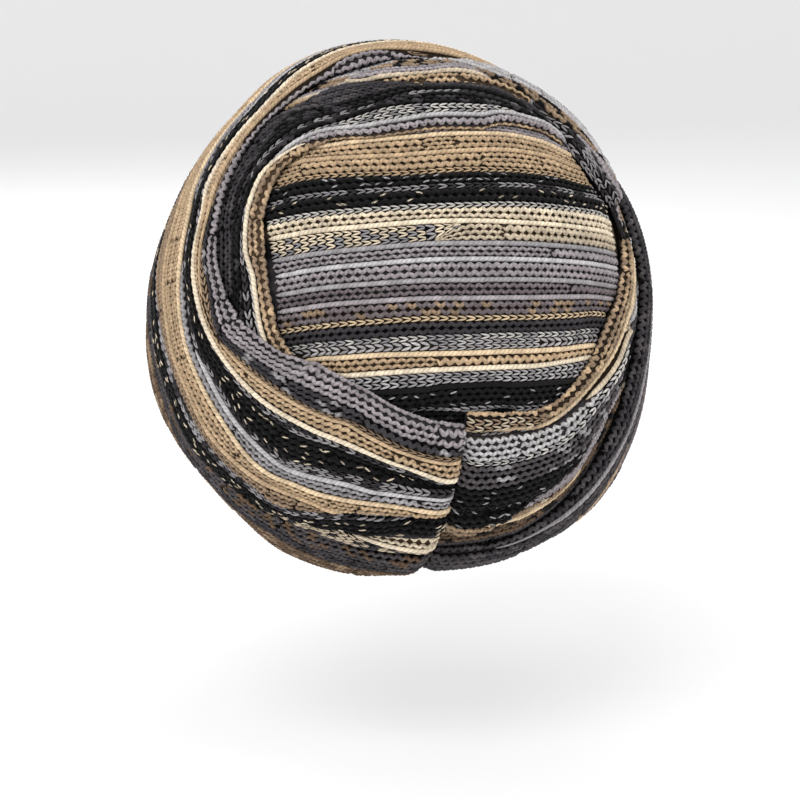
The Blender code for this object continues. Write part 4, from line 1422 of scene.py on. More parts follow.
LEFT_INNER_CHART = Chart(
    bands=(
        chain(WHITE, BLACK, GREY, 0.3), loops(BLACK, BLACK, CHARCOAL, 0.3),
        chain(GREY, BLACK, CHARCOAL, 0.45), loops(BLACK, BLACK, CHARCOAL, 0.2),
        loops(CHARCOAL, BLACK, DARK_GREY, 0.25),
    ),
    lines=(
        (60, 47.8, 47.9, 48.5, 50),
        (80, 50.7, 50.9, 53, 60),
        (90, 50.2, 50.3, 52.5, 56),
        (100, 52.4, 52.5, 53.5, 57),
        (110, 53.8, 54, 55, 60),
        (120, 54.1, 55.4, 56.6, 62),
        (136, 50, 52, 53.5, 62),
        (150, 43, 44.8, 46.5, 50.3),
        (160, 41, 42.5, 43.5, 47),
        (170, 39, 42, 43.5, 46),
        (180, 38, 42, 43, 44.5),
        (190, 38.4, 42, 43.5, 45),
        (200, 40.5, 43, 44, 46),
        (210, 42.5, 44, 44.6, 46),
        (219, 45.7, 46, 46.3, 47),
    ),
)

RIGHT_WRAP_CHART = Chart(
    bands=(
        loops(TAN, BROWN), chain(GREY, BLACK, CHARCOAL, 0.4), cord(BEIGE),
        loops(LILAC, CHARCOAL), loops(TAN_BROWN, DARK_BROWN, BLACK, 0.25),
        loops(LIGHT_GREY, DARK_GREY), loops(CREAM, BROWN, TAN, 0.3), cord(BEIGE),
        loops(LIGHT_GREY, DARK_GREY), chain(WHITE, BLACK, GREY, 0.3),
        loops(DARK_GREY, BLACK, GREY, 0.15), specks(LIGHT_GREY, 0.30), loops(LILAC, CHARCOAL),
        loops(TAN_BROWN, DARK_BROWN, BEIGE, 0.3), cord(LIGHT_TAN),
        loops(BROWN, DARK_BROWN, BLACK, 0.3), loops(DARK_GREY, BLACK),
    ),
    lines=(
        (-220, 71.6, 71.6, 72.6, 75.5, 78, *11 * (80,)),
        (-195, 52.6, 52.6, 54, 57, 62, *11 * (70,)),
        (-180, 49, 49, 50, 53, 57, *11 * (66,)),
        (-170, 50, 50, 52, 55, 55.6, *11 * (62,)),
        (-160, 51, 51, 51.2, 51.4, 53.4, *11 * (60,)),
        (-150, 50.2, 50.2, 50.3, 50.5, 54, *11 * (60,)),
        (-140, 30, 48.5, 48.6, 48.7, 53.5, *11 * (60.5,)),
        (-130, 30, 49.5, 49.6, 50, 53.5, *11 * (61,)),
        (-120, 30, 47, 47.1, 51, 51.9, *11 * (57,)),
        (-110, 30, 51.2, 51.3, 53, 56, *11 * (60,)),
        (-100, 30, 52.6, 52.7, 53, 55, 57, *10 * (61,)),
        (-90, 30, 50.1, 50.1, 50.1, 50.2, 50.3, *4 * (56,), *6 * (59,)),
        (-80, 30, *5 * (47.9,), 53, 53, 56, 56, *6 * (59,)),
        (-70, 30, *5 * (45,), 45.3, 46.5, 46.8, 47, 54, *5 * (57,)),
        (-60, 30, *6 * (42.8,), 44.5, 44.6, 46, 50, 54, 54, 57, 57, 57),
        (-50, 30, *6 * (40.8,), 42, 42.2, 44, 47, 50.4, 52.4, 52.6, 52.7, 56),
        (-40, 30, *6 * (39.6,), 39.8, 41.5, 43, 46.5, 51, 53.9, 54, 54.1, 57),
        (-30, 30, *6 * (38.7,), 38.8, 41.5, 43, 47.5, 54.2, 57, 57.8, 58.6, 60.5),
        (-20, 30, *7 * (37.5,), 40.4, 42, 46.5, 54.4, 56.6, 58.8, 59.8, 63),
        (-12, 30, *6 * (35.8,), 35.9, 40, 41.2, 46, 55, 55.6, 58.5, 59.8, 64),
        (4.4, 30, *6 * (35.3,), 35.4, 39.7, 40.6, 45.8, 55.2, 55.2, 58.5, 60, 64.2),
    ),
)

RIGHT_LOWER_CHART = Chart(
    bands=(
        loops(CHARCOAL, BLACK, DARK_GREY, 0.3), cord(GREY, CHARCOAL),
        loops(DARK_GREY, BLACK, CHARCOAL, 0.3), cord(TAN), loops(DARK_LILAC, CHARCOAL),
        chain(GREY, BLACK, WHITE, 0.3), specks(CREAM, 0.30), cord(TAN),
        loops(TAN_BROWN, DARK_BROWN), cord(GREY, CHARCOAL), loops(DARK_LILAC, CHARCOAL),
        loops(CHARCOAL, BLACK, DARK_GREY, 0.3), cord(LIGHT_TAN), loops(TAN, BROWN),
    ),
    lines=(
        (-256, 0.10, 0.14, 0.22, 0.26, 0.36, 0.42, 0.52, 0.56, 0.66, 0.70, 0.80, 0.88, 0.92),
        (-180, 0.10, 0.13, 0.22, 0.25, 0.36, 0.42, 0.52, 0.55, 0.66, 0.69, 0.80, 0.88, 0.91),
        (-120, 0.08, 0.11, 0.21, 0.24, 0.34, 0.40, 0.51, 0.54, 0.64, 0.67, 0.78, 0.87, 0.90),
        (-80, 0.08, 0.12, 0.24, 0.28, 0.38, 0.44, 0.56, 0.60, 0.68, 0.72, 0.80, 0.90, 0.93),
        (-50, 0.14, 0.20, 0.36, 0.42, 0.54, 0.62, 0.74, 0.80, 0.92, 0.97, 1, 1, 1),
        (-35, 0.10, 0.22, 0.58, 0.68, 0.82, 0.90, *7 * (1,)),
        (-20, 0.04, 0.10, 0.90, 0.98, *9 * (1,)),
        (4.4, 0.02, 0.04, 0.96, 0.98, *9 * (1,)),
    ),
    shares=True,
)

LEFT_ROLL_CHART = Chart(
    bands=(
        loops(TAN_BROWN, BROWN, TAN, 0.4), cord(CREAM), loops(LILAC, CHARCOAL),
        cord(LIGHT_GREY, CHARCOAL),
    ),
    lines=(
        (58, 0.58, 1, 1),
        (120, 0.58, 0.98, 0.99),
        (132, 0.30, 0.52, 0.66),
        (142, 0, 0.02, 0.60),
        (226, 0, 0, 0.60),
    ),
    shares=True,
)

RIGHT_ROLL_CHART = Chart(
    bands=(
        loops(TAN_BROWN, DARK_BROWN, TAN, 0.4), chain(BEIGE, BLACK, TAN_BROWN, 0.3),
        cord(LIGHT_TAN),
    ),
    lines=(
        (-99, 0.60, 0.60),
        (-28, 0.60, 0.60),
        (-20, 0.10, 0.90),
        (4.4, 0.10, 0.90),
    ),
    shares=True,
)

NAPE_CHART = Chart(
    bands=(loops(BLACK, BLACK, CHARCOAL, 0.3),),
    shares=True,
)

CROWN_BANDS = (
    (cord(LIGHT_GREY, CHARCOAL), loops(LILAC, DARK_GREY)),
    (cord(LIGHT_TAN), loops(TAN, BROWN)),
    (cord(TAN), loops(TAN, BROWN)),
    (chain(TAN, BLACK), specks(LIGHT_GREY, 0.30)),
    (chain(GREY, BLACK, CHARCOAL, 0.25), specks(CREAM, 0.30)),
    (chain(WHITE, BLACK), loops(CREAM, BROWN)),
    (cord(CREAM), chain(CREAM, BLACK, GREY, 0.3),
     loops(BEIGE, BROWN)),
    (cord(GREY, CHARCOAL), loops(LILAC, DARK_GREY)),
    (cord(LIGHT_GREY, CHARCOAL), loops(LILAC, DARK_GREY)),
    (cord(GREY, CHARCOAL), loops(DARK_LILAC, CHARCOAL)),
    (cord(LILAC, CHARCOAL),
     loops(DARK_LILAC, DARK_BROWN, TAN_BROWN, 0.3)),
    (chain(LIGHT_TAN, DARK_BROWN), loops(CHARCOAL, BLACK)),
    (chain(GREY, CHARCOAL, WHITE, 0.4),
     chain(LIGHT_GREY, DARK_BROWN, GREY, 0.4)),
    (cord(LIGHT_TAN), loops(TAN, BROWN)),
    (cord(CREAM), chain(LIGHT_GREY, BLACK, GREY, 0.4)),
    (cord(BLACK, BLACK), specks(LIGHT_GREY, 0.30)),
    (chain(GREY, BLACK), loops(BLACK, BLACK, CHARCOAL, 0.2)),
)

CROWN_MIDDLES = (
    (-60, -56, -46.9, -41.5, -35, -29, -21.9, -14, -5.5, 0.6, 8.5, 13.8, 20.6, 27.5, 33.5,
     38.1, 47, 56),
    (-40, -60, -51.9, -45, -36.9, -30.5, -22.5, -14.6, -5.9, 0.4, 8.3, 14.8, 22.3, 29.4,
     35.4, 40.6, 48.6, 58),
    (-20, -61.9, -54, -46.5, -37.8, -31.3, -23.1, -15.3, -6.5, 0, 8.1, 15.3, 23.1, 30,
     36.3, 42.3, 49.5, 59),
    (0, -62.5, -54, -46, -38.1, -31.3, -23.1, -16.3, -7, -0.6, 7.8, 15, 22.9, 30, 36.3,
     42.3, 49.5, 59),
    (20, -62, -53.5, -45.6, -37.8, -31.3, -23.4, -16.9, -7.8, -1.3, 6.9, 14, 21.9, 29.4,
     35.6, 41.9, 49.5, 59),
    (40, -61.9, -53.8, -46.9, -39.4, -32, -24.1, -17.1, -8, -1.6, 6.3, 13.3, 21.3, 28.8,
     34.4, 41.5, 49.2, 58.6),
    (60, -61, -54.5, -48.8, -41, -33, -25, -17.9, -8.5, -2.1, 5.6, 12.5, 20.6, 28, 33.8,
     41, 48.8, 58),
)

# Where a band has three parts, its chevrons hook on to the next band past this place.
HOOKS_FROM = 10.0


def crown_chart(half_course: float = 1.15) -> Chart:
    """Return the cap's chart, from the middles of its cords and chevron rows.

    Args:
        half_course: half the height of a cord or chevron row, in mm.

    Returns:
        The chart, from the brow side down.
    """
    bands = [loops(LILAC, DARK_GREY)]
    for group in CROWN_BANDS:
        bands.extend(group)
    lines = []
    for along, *middles in CROWN_MIDDLES:
        line = [along]
        for middle, follow, group in zip(middles, (*middles[1:], PANEL_ENDS[1]), CROWN_BANDS):
            line.extend((middle - half_course, middle + half_course))
            if len(group) == 3:
                line.append(follow - half_course if along > HOOKS_FROM else middle + half_course)
        lines.append(tuple(line))
    return Chart(tuple(bands), tuple(lines))


@dataclass(frozen=True)
class WoolFinish:
    """Finish of wool in each piece's own colours, with a relief and a soft fuzz.

    Args:
        name: the material's name.
        rough: its roughness.
        sheen: its sheen.
        strand: whether the relief follows the strand map, and not the place.
        relief: the numbers of the relief group.
        fuzz: the numbers of the fuzz group.
        bumps: strength and distance of the relief's bump and of the fuzz's.
    """

    name: str
    rough: float
    sheen: float
    strand: bool
    relief: dict[str, float]
    fuzz: dict[str, float]
    bumps: tuple[tuple[float, float], tuple[float, float]]

    def build(self, relief: bpy.types.NodeTree, fuzz: bpy.types.NodeTree) -> bpy.types.Material:
        """Return the material.

        Args:
            relief: the group for the plies or the small stitches.
            fuzz: the wool fuzz group.

        Returns:
            The material, coloured by each piece's own colours.
        """
        made, nodes, links, shader = new_material(self.name, self.rough, self.sheen)
        colour = nodes.new("ShaderNodeVertexColor")
        colour.layer_name = "yarn"
        knit = add_group(nodes, relief, **self.relief)
        wool = add_group(nodes, fuzz, **self.fuzz)
        place = nodes.new("ShaderNodeTexCoord")
        links.new(place.outputs["Object"], wool.inputs["Place"])
        if self.strand:
            strand = nodes.new("ShaderNodeUVMap")
            strand.uv_map = "strand"
            links.new(strand.outputs["UV"], knit.inputs["Strand"])
        else:
            links.new(place.outputs["Object"], knit.inputs["Place"])
        links.new(colour.outputs["Color"], knit.inputs["Colour"])
        links.new(knit.outputs["Colour"], wool.inputs["Colour"])
        links.new(wool.outputs["Colour"], shader.inputs["Base Color"])
        bump_chain(nodes, links, shader, ((knit.outputs["Height"], *self.bumps[0]),
                                          (wool.outputs["Height"], *self.bumps[1])))
        return made


YARN_FINISH = WoolFinish(
    "spun_wool_yarn", 0.9, 0.03, True, {"GrooveShade": 0.38, "Turns": 260.0},
    {"Scale": 1500.0, "Amount": 0.24}, ((0.7, 0.00022), (0.35, 0.00010)))


def ground_finish(slot: str) -> WoolFinish:
    """Return the finish of the cloth behind a slot's yarns: small dark stitches in shadow."""
    return WoolFinish(
        slot + "_ground", 0.95, 0.02, False, {"Stitches": 1150.0, "Depth": 0.45},
        {"Scale": 900.0, "Amount": 0.30}, ((0.7, 0.0006), (0.3, 0.0002)))


def new_material(name: str, rough: float, sheen: float) -> tuple:
    """Return a new material, its nodes, its links and its shader."""
    made = bpy.data.materials.new(name)
    made.use_nodes = True
    nodes, links = made.node_tree.nodes, made.node_tree.links
    shader = nodes["Principled BSDF"]
    shader.inputs["Roughness"].default_value = rough
    shader.inputs["Sheen Weight"].default_value = sheen
    shader.inputs["Sheen Roughness"].default_value = 0.6
    shader.inputs["Specular IOR Level"].default_value = 0.12
    return made, nodes, links, shader


def add_group(nodes: bpy.types.Nodes, tree: bpy.types.NodeTree, **values: float) -> bpy.types.Node:
    """Return a group node with its named inputs set."""
    node = nodes.new("ShaderNodeGroup")
    node.node_tree = tree
    for name, value in values.items():
        node.inputs[name].default_value = value
    return node


def bump_chain(nodes: bpy.types.Nodes, links: bpy.types.NodeLinks, shader: bpy.types.Node,
               heights: tuple[tuple[bpy.types.NodeSocket, float, float], ...]) -> None:
    """Feed heights through bumps, one on another, to a shader's normal.

    Args:
        nodes: the material's nodes.
        links: the material's links.
        shader: the shader.
        heights: height sockets with their strengths and distances.
    """
    last = None
    for height, strength, distance in heights:
        bump = nodes.new("ShaderNodeBump")
        bump.inputs["Strength"].default_value = strength
        bump.inputs["Distance"].default_value = distance
        links.new(height, bump.inputs["Height"])
        if last is not None:
            links.new(last.outputs["Normal"], bump.inputs["Normal"])
        last = bump
    links.new(last.outputs["Normal"], shader.inputs["Normal"])


class GroupMaker:
    """Builds one shader node group with named sockets."""

    def __init__(self, name: str, inputs: dict[str, str], outputs: dict[str, str]) -> None:
        """Start the group.

        Args:
            name: the group's name.
            inputs: its inputs, each a colour, vector or number.
            outputs: its outputs, likewise.
        """
        kinds = {"colour": "NodeSocketColor", "vector": "NodeSocketVector",
                 "number": "NodeSocketFloat"}
        self.tree = bpy.data.node_groups.new(name, "ShaderNodeTree")
        for way, sockets in (("INPUT", inputs), ("OUTPUT", outputs)):
            for socket, kind in sockets.items():
                self.tree.interface.new_socket(socket, in_out=way, socket_type=kinds[kind])
        self.start = self.tree.nodes.new("NodeGroupInput")
        self.end = self.tree.nodes.new("NodeGroupOutput")

    def link(self, given: bpy.types.NodeSocket | float, socket: bpy.types.NodeSocket) -> None:
        """Link a socket to another, or set its value."""
        if isinstance(given, bpy.types.NodeSocket):
            self.tree.links.new(given, socket)
        else:
            socket.default_value = given

    def math(self, how: str, *given: bpy.types.NodeSocket | float) -> bpy.types.NodeSocket:
        """Return the result of a math node."""
        node = self.tree.nodes.new("ShaderNodeMath")
        node.operation = how
        for value, socket in zip(given, node.inputs):
            self.link(value, socket)
        return node.outputs[0]

    def noise(self, place: bpy.types.NodeSocket, scale: bpy.types.NodeSocket | float,
              detail: float = 3.0) -> bpy.types.NodeSocket:
        """Return a noise over a place."""
        node = self.tree.nodes.new("ShaderNodeTexNoise")
        self.link(place, node.inputs["Vector"])
        self.link(scale, node.inputs["Scale"])
        node.inputs["Detail"].default_value = detail
        return node.outputs["Fac"]

    def dim(self, colour: bpy.types.NodeSocket, by: bpy.types.NodeSocket) -> bpy.types.NodeSocket:
        """Return a colour made darker or lighter by a factor."""
        node = self.tree.nodes.new("ShaderNodeVectorMath")
        node.operation = "SCALE"
        self.link(colour, node.inputs[0])
        self.link(by, node.inputs["Scale"])
        return node.outputs["Vector"]

    def give(self, **results: bpy.types.NodeSocket) -> bpy.types.NodeTree:
        """Feed the group's outputs and return it."""
        for name, socket in results.items():
            self.tree.links.new(socket, self.end.inputs[name])
        return self.tree


def ply_twist() -> bpy.types.NodeTree:
    """Return the group for the slanting plies of a yarn, with painted shade darkening the colour
    in the grooves between plies.
    """
    maker = GroupMaker("ply_twist", {"Strand": "vector", "Colour": "colour", "GrooveShade": "number",
                                     "Turns": "number"}, {"Colour": "colour", "Height": "number"})
    split = maker.tree.nodes.new("ShaderNodeSeparateXYZ")
    maker.link(maker.start.outputs["Strand"], split.inputs[0])
    along = maker.math("MULTIPLY", split.outputs["X"], maker.start.outputs["Turns"])
    turn = maker.math("MULTIPLY", maker.math("ADD", along, split.outputs["Y"]), 2 * np.pi)
    wave = maker.math("ABSOLUTE", maker.math("SINE", turn))
    height = maker.math("POWER", wave, 0.6)
    # Painted shade: the colour is darkened down in the grooves between the plies.
    shade_in_groove = maker.math("SUBTRACT", 1.0, maker.start.outputs["GrooveShade"])
    shade = maker.math("ADD", shade_in_groove, maker.math("MULTIPLY", height,
                                                 maker.start.outputs["GrooveShade"]))
    return maker.give(Colour=maker.dim(maker.start.outputs["Colour"], shade), Height=height)


def wool_fuzz() -> bpy.types.NodeTree:
    """Return the group for fine fibres and uneven dye."""
    maker = GroupMaker("wool_fuzz", {"Place": "vector", "Colour": "colour", "Scale": "number",
                                     "Amount": "number"},
                       {"Colour": "colour", "Height": "number"})
    place = maker.start.outputs["Place"]
    fine = maker.noise(place, maker.start.outputs["Scale"], 4.0)
    broad = maker.noise(place, 60.0, 2.0)
    both = maker.math("ADD", fine, maker.math("MULTIPLY", broad, 0.6))
    change = maker.math("MULTIPLY", maker.math("SUBTRACT", both, 0.8),
                        maker.math("MULTIPLY", maker.start.outputs["Amount"], 2.0))
    shade = maker.math("ADD", 1.0, change)
    return maker.give(Colour=maker.dim(maker.start.outputs["Colour"], shade), Height=fine)


def small_stitches() -> bpy.types.NodeTree:
    """Return the group for the small stitches of the ground, with painted shade darkening the
    colour between the stitches.
    """
    maker = GroupMaker("small_stitches", {"Place": "vector", "Colour": "colour",
                                          "Stitches": "number", "Depth": "number"},
                       {"Colour": "colour", "Height": "number"})
    cells = maker.tree.nodes.new("ShaderNodeTexVoronoi")
    cells.feature = "SMOOTH_F1"
    maker.link(maker.start.outputs["Place"], cells.inputs["Vector"])
    scale = maker.math("MULTIPLY", maker.start.outputs["Stitches"], 0.5)
    maker.link(scale, cells.inputs["Scale"])
    height = maker.math("SUBTRACT", 1.0, cells.outputs["Distance"])
    # Painted shade: the colour is darkened between the small stitches.
    depth = maker.start.outputs["Depth"]
    shade = maker.math("ADD", maker.math("SUBTRACT", 1.0, depth),
                       maker.math("MULTIPLY", height, depth))
    return maker.give(Colour=maker.dim(maker.start.outputs["Colour"], shade), Height=height)


@dataclass(frozen=True)
class Finishes:
    """The node groups and the yarn material, built once."""

    twist: bpy.types.NodeTree
    fuzz: bpy.types.NodeTree
    stitch: bpy.types.NodeTree
    yarn: bpy.types.Material

    @classmethod
    def build(cls) -> "Finishes":
        """Return the shared finishes."""
        twist, fuzz, stitch = ply_twist(), wool_fuzz(), small_stitches()
        return cls(twist, fuzz, stitch, YARN_FINISH.build(twist, fuzz))

    def ground(self, slot: str) -> bpy.types.Material:
        """Return the ground material of a slot."""
        return ground_finish(slot).build(self.stitch, self.fuzz)


def strip_quads(along: int, across: int) -> np.ndarray:
    """Return the faces of a closed strip: outer face, inner face and four sides."""
    count = (along + 1) * (across + 1)
    top = np.arange(count).reshape(along + 1, across + 1)
    low = top + count
    outer = np.stack((top[:-1, :-1], top[1:, :-1], top[1:, 1:], top[:-1, 1:]), axis=-1)
    inner = np.stack((low[:-1, :-1], low[:-1, 1:], low[1:, 1:], low[1:, :-1]), axis=-1)
    sides = (
        np.stack((top[:-1, 0], low[:-1, 0], low[1:, 0], top[1:, 0]), axis=-1),
        np.stack((top[:-1, -1], top[1:, -1], low[1:, -1], low[:-1, -1]), axis=-1),
        np.stack((top[0, :-1], top[0, 1:], low[0, 1:], low[0, :-1]), axis=-1),
        np.stack((top[-1, :-1], low[-1, :-1], low[-1, 1:], top[-1, 1:]), axis=-1),
    )
    return np.concatenate((outer.reshape(-1, 4), inner.reshape(-1, 4), *sides))


@dataclass
class WoundCloth:
    """One wrap or roll: its ground cloth and the yarns on it.

    Args:
        layer: the strip that it stands for.
        chart: its bands.
        slot: its material slot.
        held: how the cloth is held.
        rests_on: the nodes that it lies on.
        seed: the start of its chance colours.
        turned_in: how much wider it was cut than its own half girth.
        row_width: the height of its courses.
        spine: how many stations its middle line has.
        cell: the length of a cell of its mesh, in metres.
        squat: a cell's width, in shares of that length.
        cells: the least cells either way, and the most across it.
        crowd: how much closer the cells lie at its edges.
        sink: how far it lies below the yarns' face, in metres.
        shade: how light it is, darkened as painted shade for the gaps between the yarns.
    """

    layer: Layer
    chart: Chart
    slot: str
    held: str
    rests_on: tuple[str, ...]
    seed: int
    turned_in: float = 1.0
    row_width: float = 0.0027
    spine: int = 300
    cell: float = 0.0027
    squat: float = 0.6
    cells: tuple[int, int] = (6, 90)
    crowd: float = 0.045
    sink: float = 0.0005
    shade: float = 0.62

    def build(self, pressing: Pressing, finishes: Finishes) -> None:
        """Args:
            pressing: the pressed layers.
            finishes: the shared finishes.
        """
        face = WrapFace(pressing, self.layer)
        cloth, flat = self.ground(face, finishes.ground(self.slot))
        yarns = Courses(self.layer.name, face, self.chart, (self.layer.first, self.layer.last),
                        self.seed, self.row_width).make(finishes.yarn)
        declare(cloth, yarns, self.layer.name, self.slot, self.held, self.rests_on, flat)

    def ground(self, face: WrapFace, material: bpy.types.Material) -> tuple:
        """Return the ground cloth, and its flat width and length."""
        layer = self.layer
        spine = np.linspace(layer.first, layer.last, self.spine)
        inner, outer = layer.edges(spine)
        path = face.point(spine, (inner + outer) / 2)
        run = np.append(0, np.cumsum(np.linalg.norm(np.diff(path, axis=0), axis=1)))
        spread = face.point(spine, inner) - face.point(spine, outer)
        width = np.linalg.norm(spread, axis=1)
        along = max(self.cells[0], int(run[-1] / self.cell))
        across = int(np.clip(width.max() / (self.squat * self.cell), *self.cells))
        ring = np.interp(np.linspace(0, run[-1], along + 1), run, spine)
        inner, outer = layer.edges(ring)
        step = np.linspace(0, 1, across + 1)
        step = step - self.crowd * np.sin(2 * np.pi * step)
        fall = inner[:, None] + (outer - inner)[:, None] * step
        ring = np.broadcast_to(ring[:, None], fall.shape)
        low = face.pressing.inner_at(layer, ring, fall)
        high = face.pressing.outer_at(layer, ring, fall) - self.sink
        high = np.maximum(high, low + BULK.wrap_wall - self.sink)
        points = np.concatenate((FORM.place(ring, fall, high).reshape(-1, 3),
                                 FORM.place(ring, fall, low).reshape(-1, 3)))
        quads = strip_quads(along, across)
        cloth = mesh_from(layer.name + "_cloth", points, quads.ravel(),
                          np.full(len(quads), 4), material)
        turned, across_at = face.chart_place(ring.ravel(), fall.ravel())
        # The ground colour is darkened by shade: painted shade for the gaps between the yarns.
        colour = self.chart.ground(turned, across_at, face) * self.shade
        tint(cloth, np.concatenate((colour, colour)))
        faces = points.reshape(2, along + 1, across + 1, 3)
        walls = np.linalg.norm(faces[0][:, (0, -1)] - faces[1][:, (0, -1)], axis=2).sum(axis=1)
        girth = np.linalg.norm(np.diff(faces, axis=2), axis=3).sum(axis=(0, 2)) + walls
        return cloth, (float(girth.mean() / 2) * self.turned_in, float(run[-1]))


@dataclass
class KnitCap:
    """The cap: a closed shell with the crown panel's yarns on it.

    Args:
        chart: its bands.
        slot: its material slot.
        span: how far the bands run to both sides, in mm.
        seed: the start of its chance colours.
        around: how many cells its mesh has round the middle.
        rings: how many it has from the middle to the rim.
        sink: how far it lies below the yarns' face, in metres.
        rim_short: how far it ends above the rim, in degrees.
        shade: how light it is, darkened as painted shade for the gaps between the yarns.
    """

    chart: Chart = field(default_factory=crown_chart)
    slot: str = "crown_knit"
    span: tuple[float, float] = (-74.0, 74.0)
    seed: int = 5
    around: int = 180
    rings: int = 72
    sink: float = 0.0005
    rim_short: float = 1.2
    shade: float = 0.62

    def build(self, pressing: Pressing, finishes: Finishes) -> None:
        """Args:
            pressing: the pressed layers.
            finishes: the shared finishes.
        """
        face = CrownFace(pressing, pressing.cap)
        cloth, flat, area = self.ground(face, finishes.ground(self.slot))
        name = pressing.cap.name
        yarns = Courses(name, face, self.chart, self.span, self.seed).make(finishes.yarn)
        declare(cloth, yarns, name, self.slot, "stretched", (), flat, area)

    def ground(self, face: CrownFace, material: bpy.types.Material) -> tuple:
        """Return the shell, its flat width and length, and its flat area."""
        ring = np.linspace(-180, 180, self.around + 1)[:-1]
        rim = FORM.rim_fall(ring) - self.rim_short
        fall = rim[:, None] * np.linspace(0, 1, self.rings + 1)[None, 1:]
        ring = np.broadcast_to(ring[:, None], fall.shape)
        high = face.pressing.outer_at(face.layer, ring, fall) - self.sink
        wall = BULK.cap_wall - self.sink
        pole = np.zeros(1)
        top = face.pressing.outer_at(face.layer, pole, pole) - self.sink
        outer = FORM.place(ring, fall, high)
        points = np.concatenate((outer.reshape(-1, 3),
                                 FORM.place(ring, fall, high - wall).reshape(-1, 3),
                                 FORM.place(pole, pole, top), FORM.place(pole, pole, top - wall)))
        quads, tris = self.faces()
        sizes = np.concatenate((np.full(len(quads), 4), np.full(len(tris), 3)))
        cloth = mesh_from("crown_cap_cloth", points, np.concatenate((quads.ravel(), tris.ravel())),
                          sizes, material)
        across, along = face.chart_place(ring.ravel(), fall.ravel())
        # The ground colour is darkened by shade: painted shade for the gaps between the yarns.
        colour = self.chart.ground(across, along, face) * self.shade
        middle = self.chart.ground(pole, pole, face) * self.shade
        tint(cloth, np.concatenate((colour, colour, middle, middle)))
        strips = np.linalg.norm(np.diff(outer, axis=1), axis=2)
        depth = float(strips.sum(axis=1).mean())
        round_it = np.linalg.norm(outer - np.roll(outer, 1, axis=0), axis=2)
        area = float((round_it[:, 1:] * strips).sum())
        return cloth, (2 * depth, 2 * depth), min(area, 4 * depth * depth)

    def faces(self) -> tuple[np.ndarray, np.ndarray]:
        """Return the shell's quads, and the triangles round its poles."""
        half = self.around * self.rings
        top = np.arange(half).reshape(self.around, self.rings)
        nxt = np.roll(top, -1, axis=0)
        outer = np.stack((top[:, :-1], nxt[:, :-1], nxt[:, 1:], top[:, 1:]), axis=-1)
        inner = half + outer[..., ::-1]
        rim = np.stack((top[:, -1], nxt[:, -1], half + nxt[:, -1], half + top[:, -1]), axis=-1)
        quads = np.concatenate((outer.reshape(-1, 4), inner.reshape(-1, 4), rim))
        pole = np.full(self.around, 2 * half)
        tris = np.concatenate((np.stack((pole, nxt[:, 0], top[:, 0]), axis=-1),
                               np.stack((pole + 1, half + top[:, 0], half + nxt[:, 0]), axis=-1)))
        return quads, tris


def declare(cloth: bpy.types.Object, yarns: list[bpy.types.Object], node: str, slot: str,
            held: str, rests_on: tuple[str, ...], flat: tuple[float, float],
            area: float | None = None) -> None:
    """Ride and replace one sheet with its yarns, and log how many faces its yarns have.

    Args:
        cloth: the ground cloth.
        yarns: the yarn pieces on it.
        node: the node that it stands for.
        slot: its material slot; not used.
        held: how the cloth is held; not used.
        rests_on: what it lies on; not used.
        flat: its flat width and length; not used.
        area: its flat area, where it isn't a rectangle; not used.
    """
    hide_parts(node)
    for piece in (cloth, *yarns):
        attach(piece, "root")
    list(rests_on)
    tally = sum(len(piece.data.polygons) for piece in yarns)
    LOG.info("%s: %d pieces of yarn, %d faces", node, len(yarns), tally)


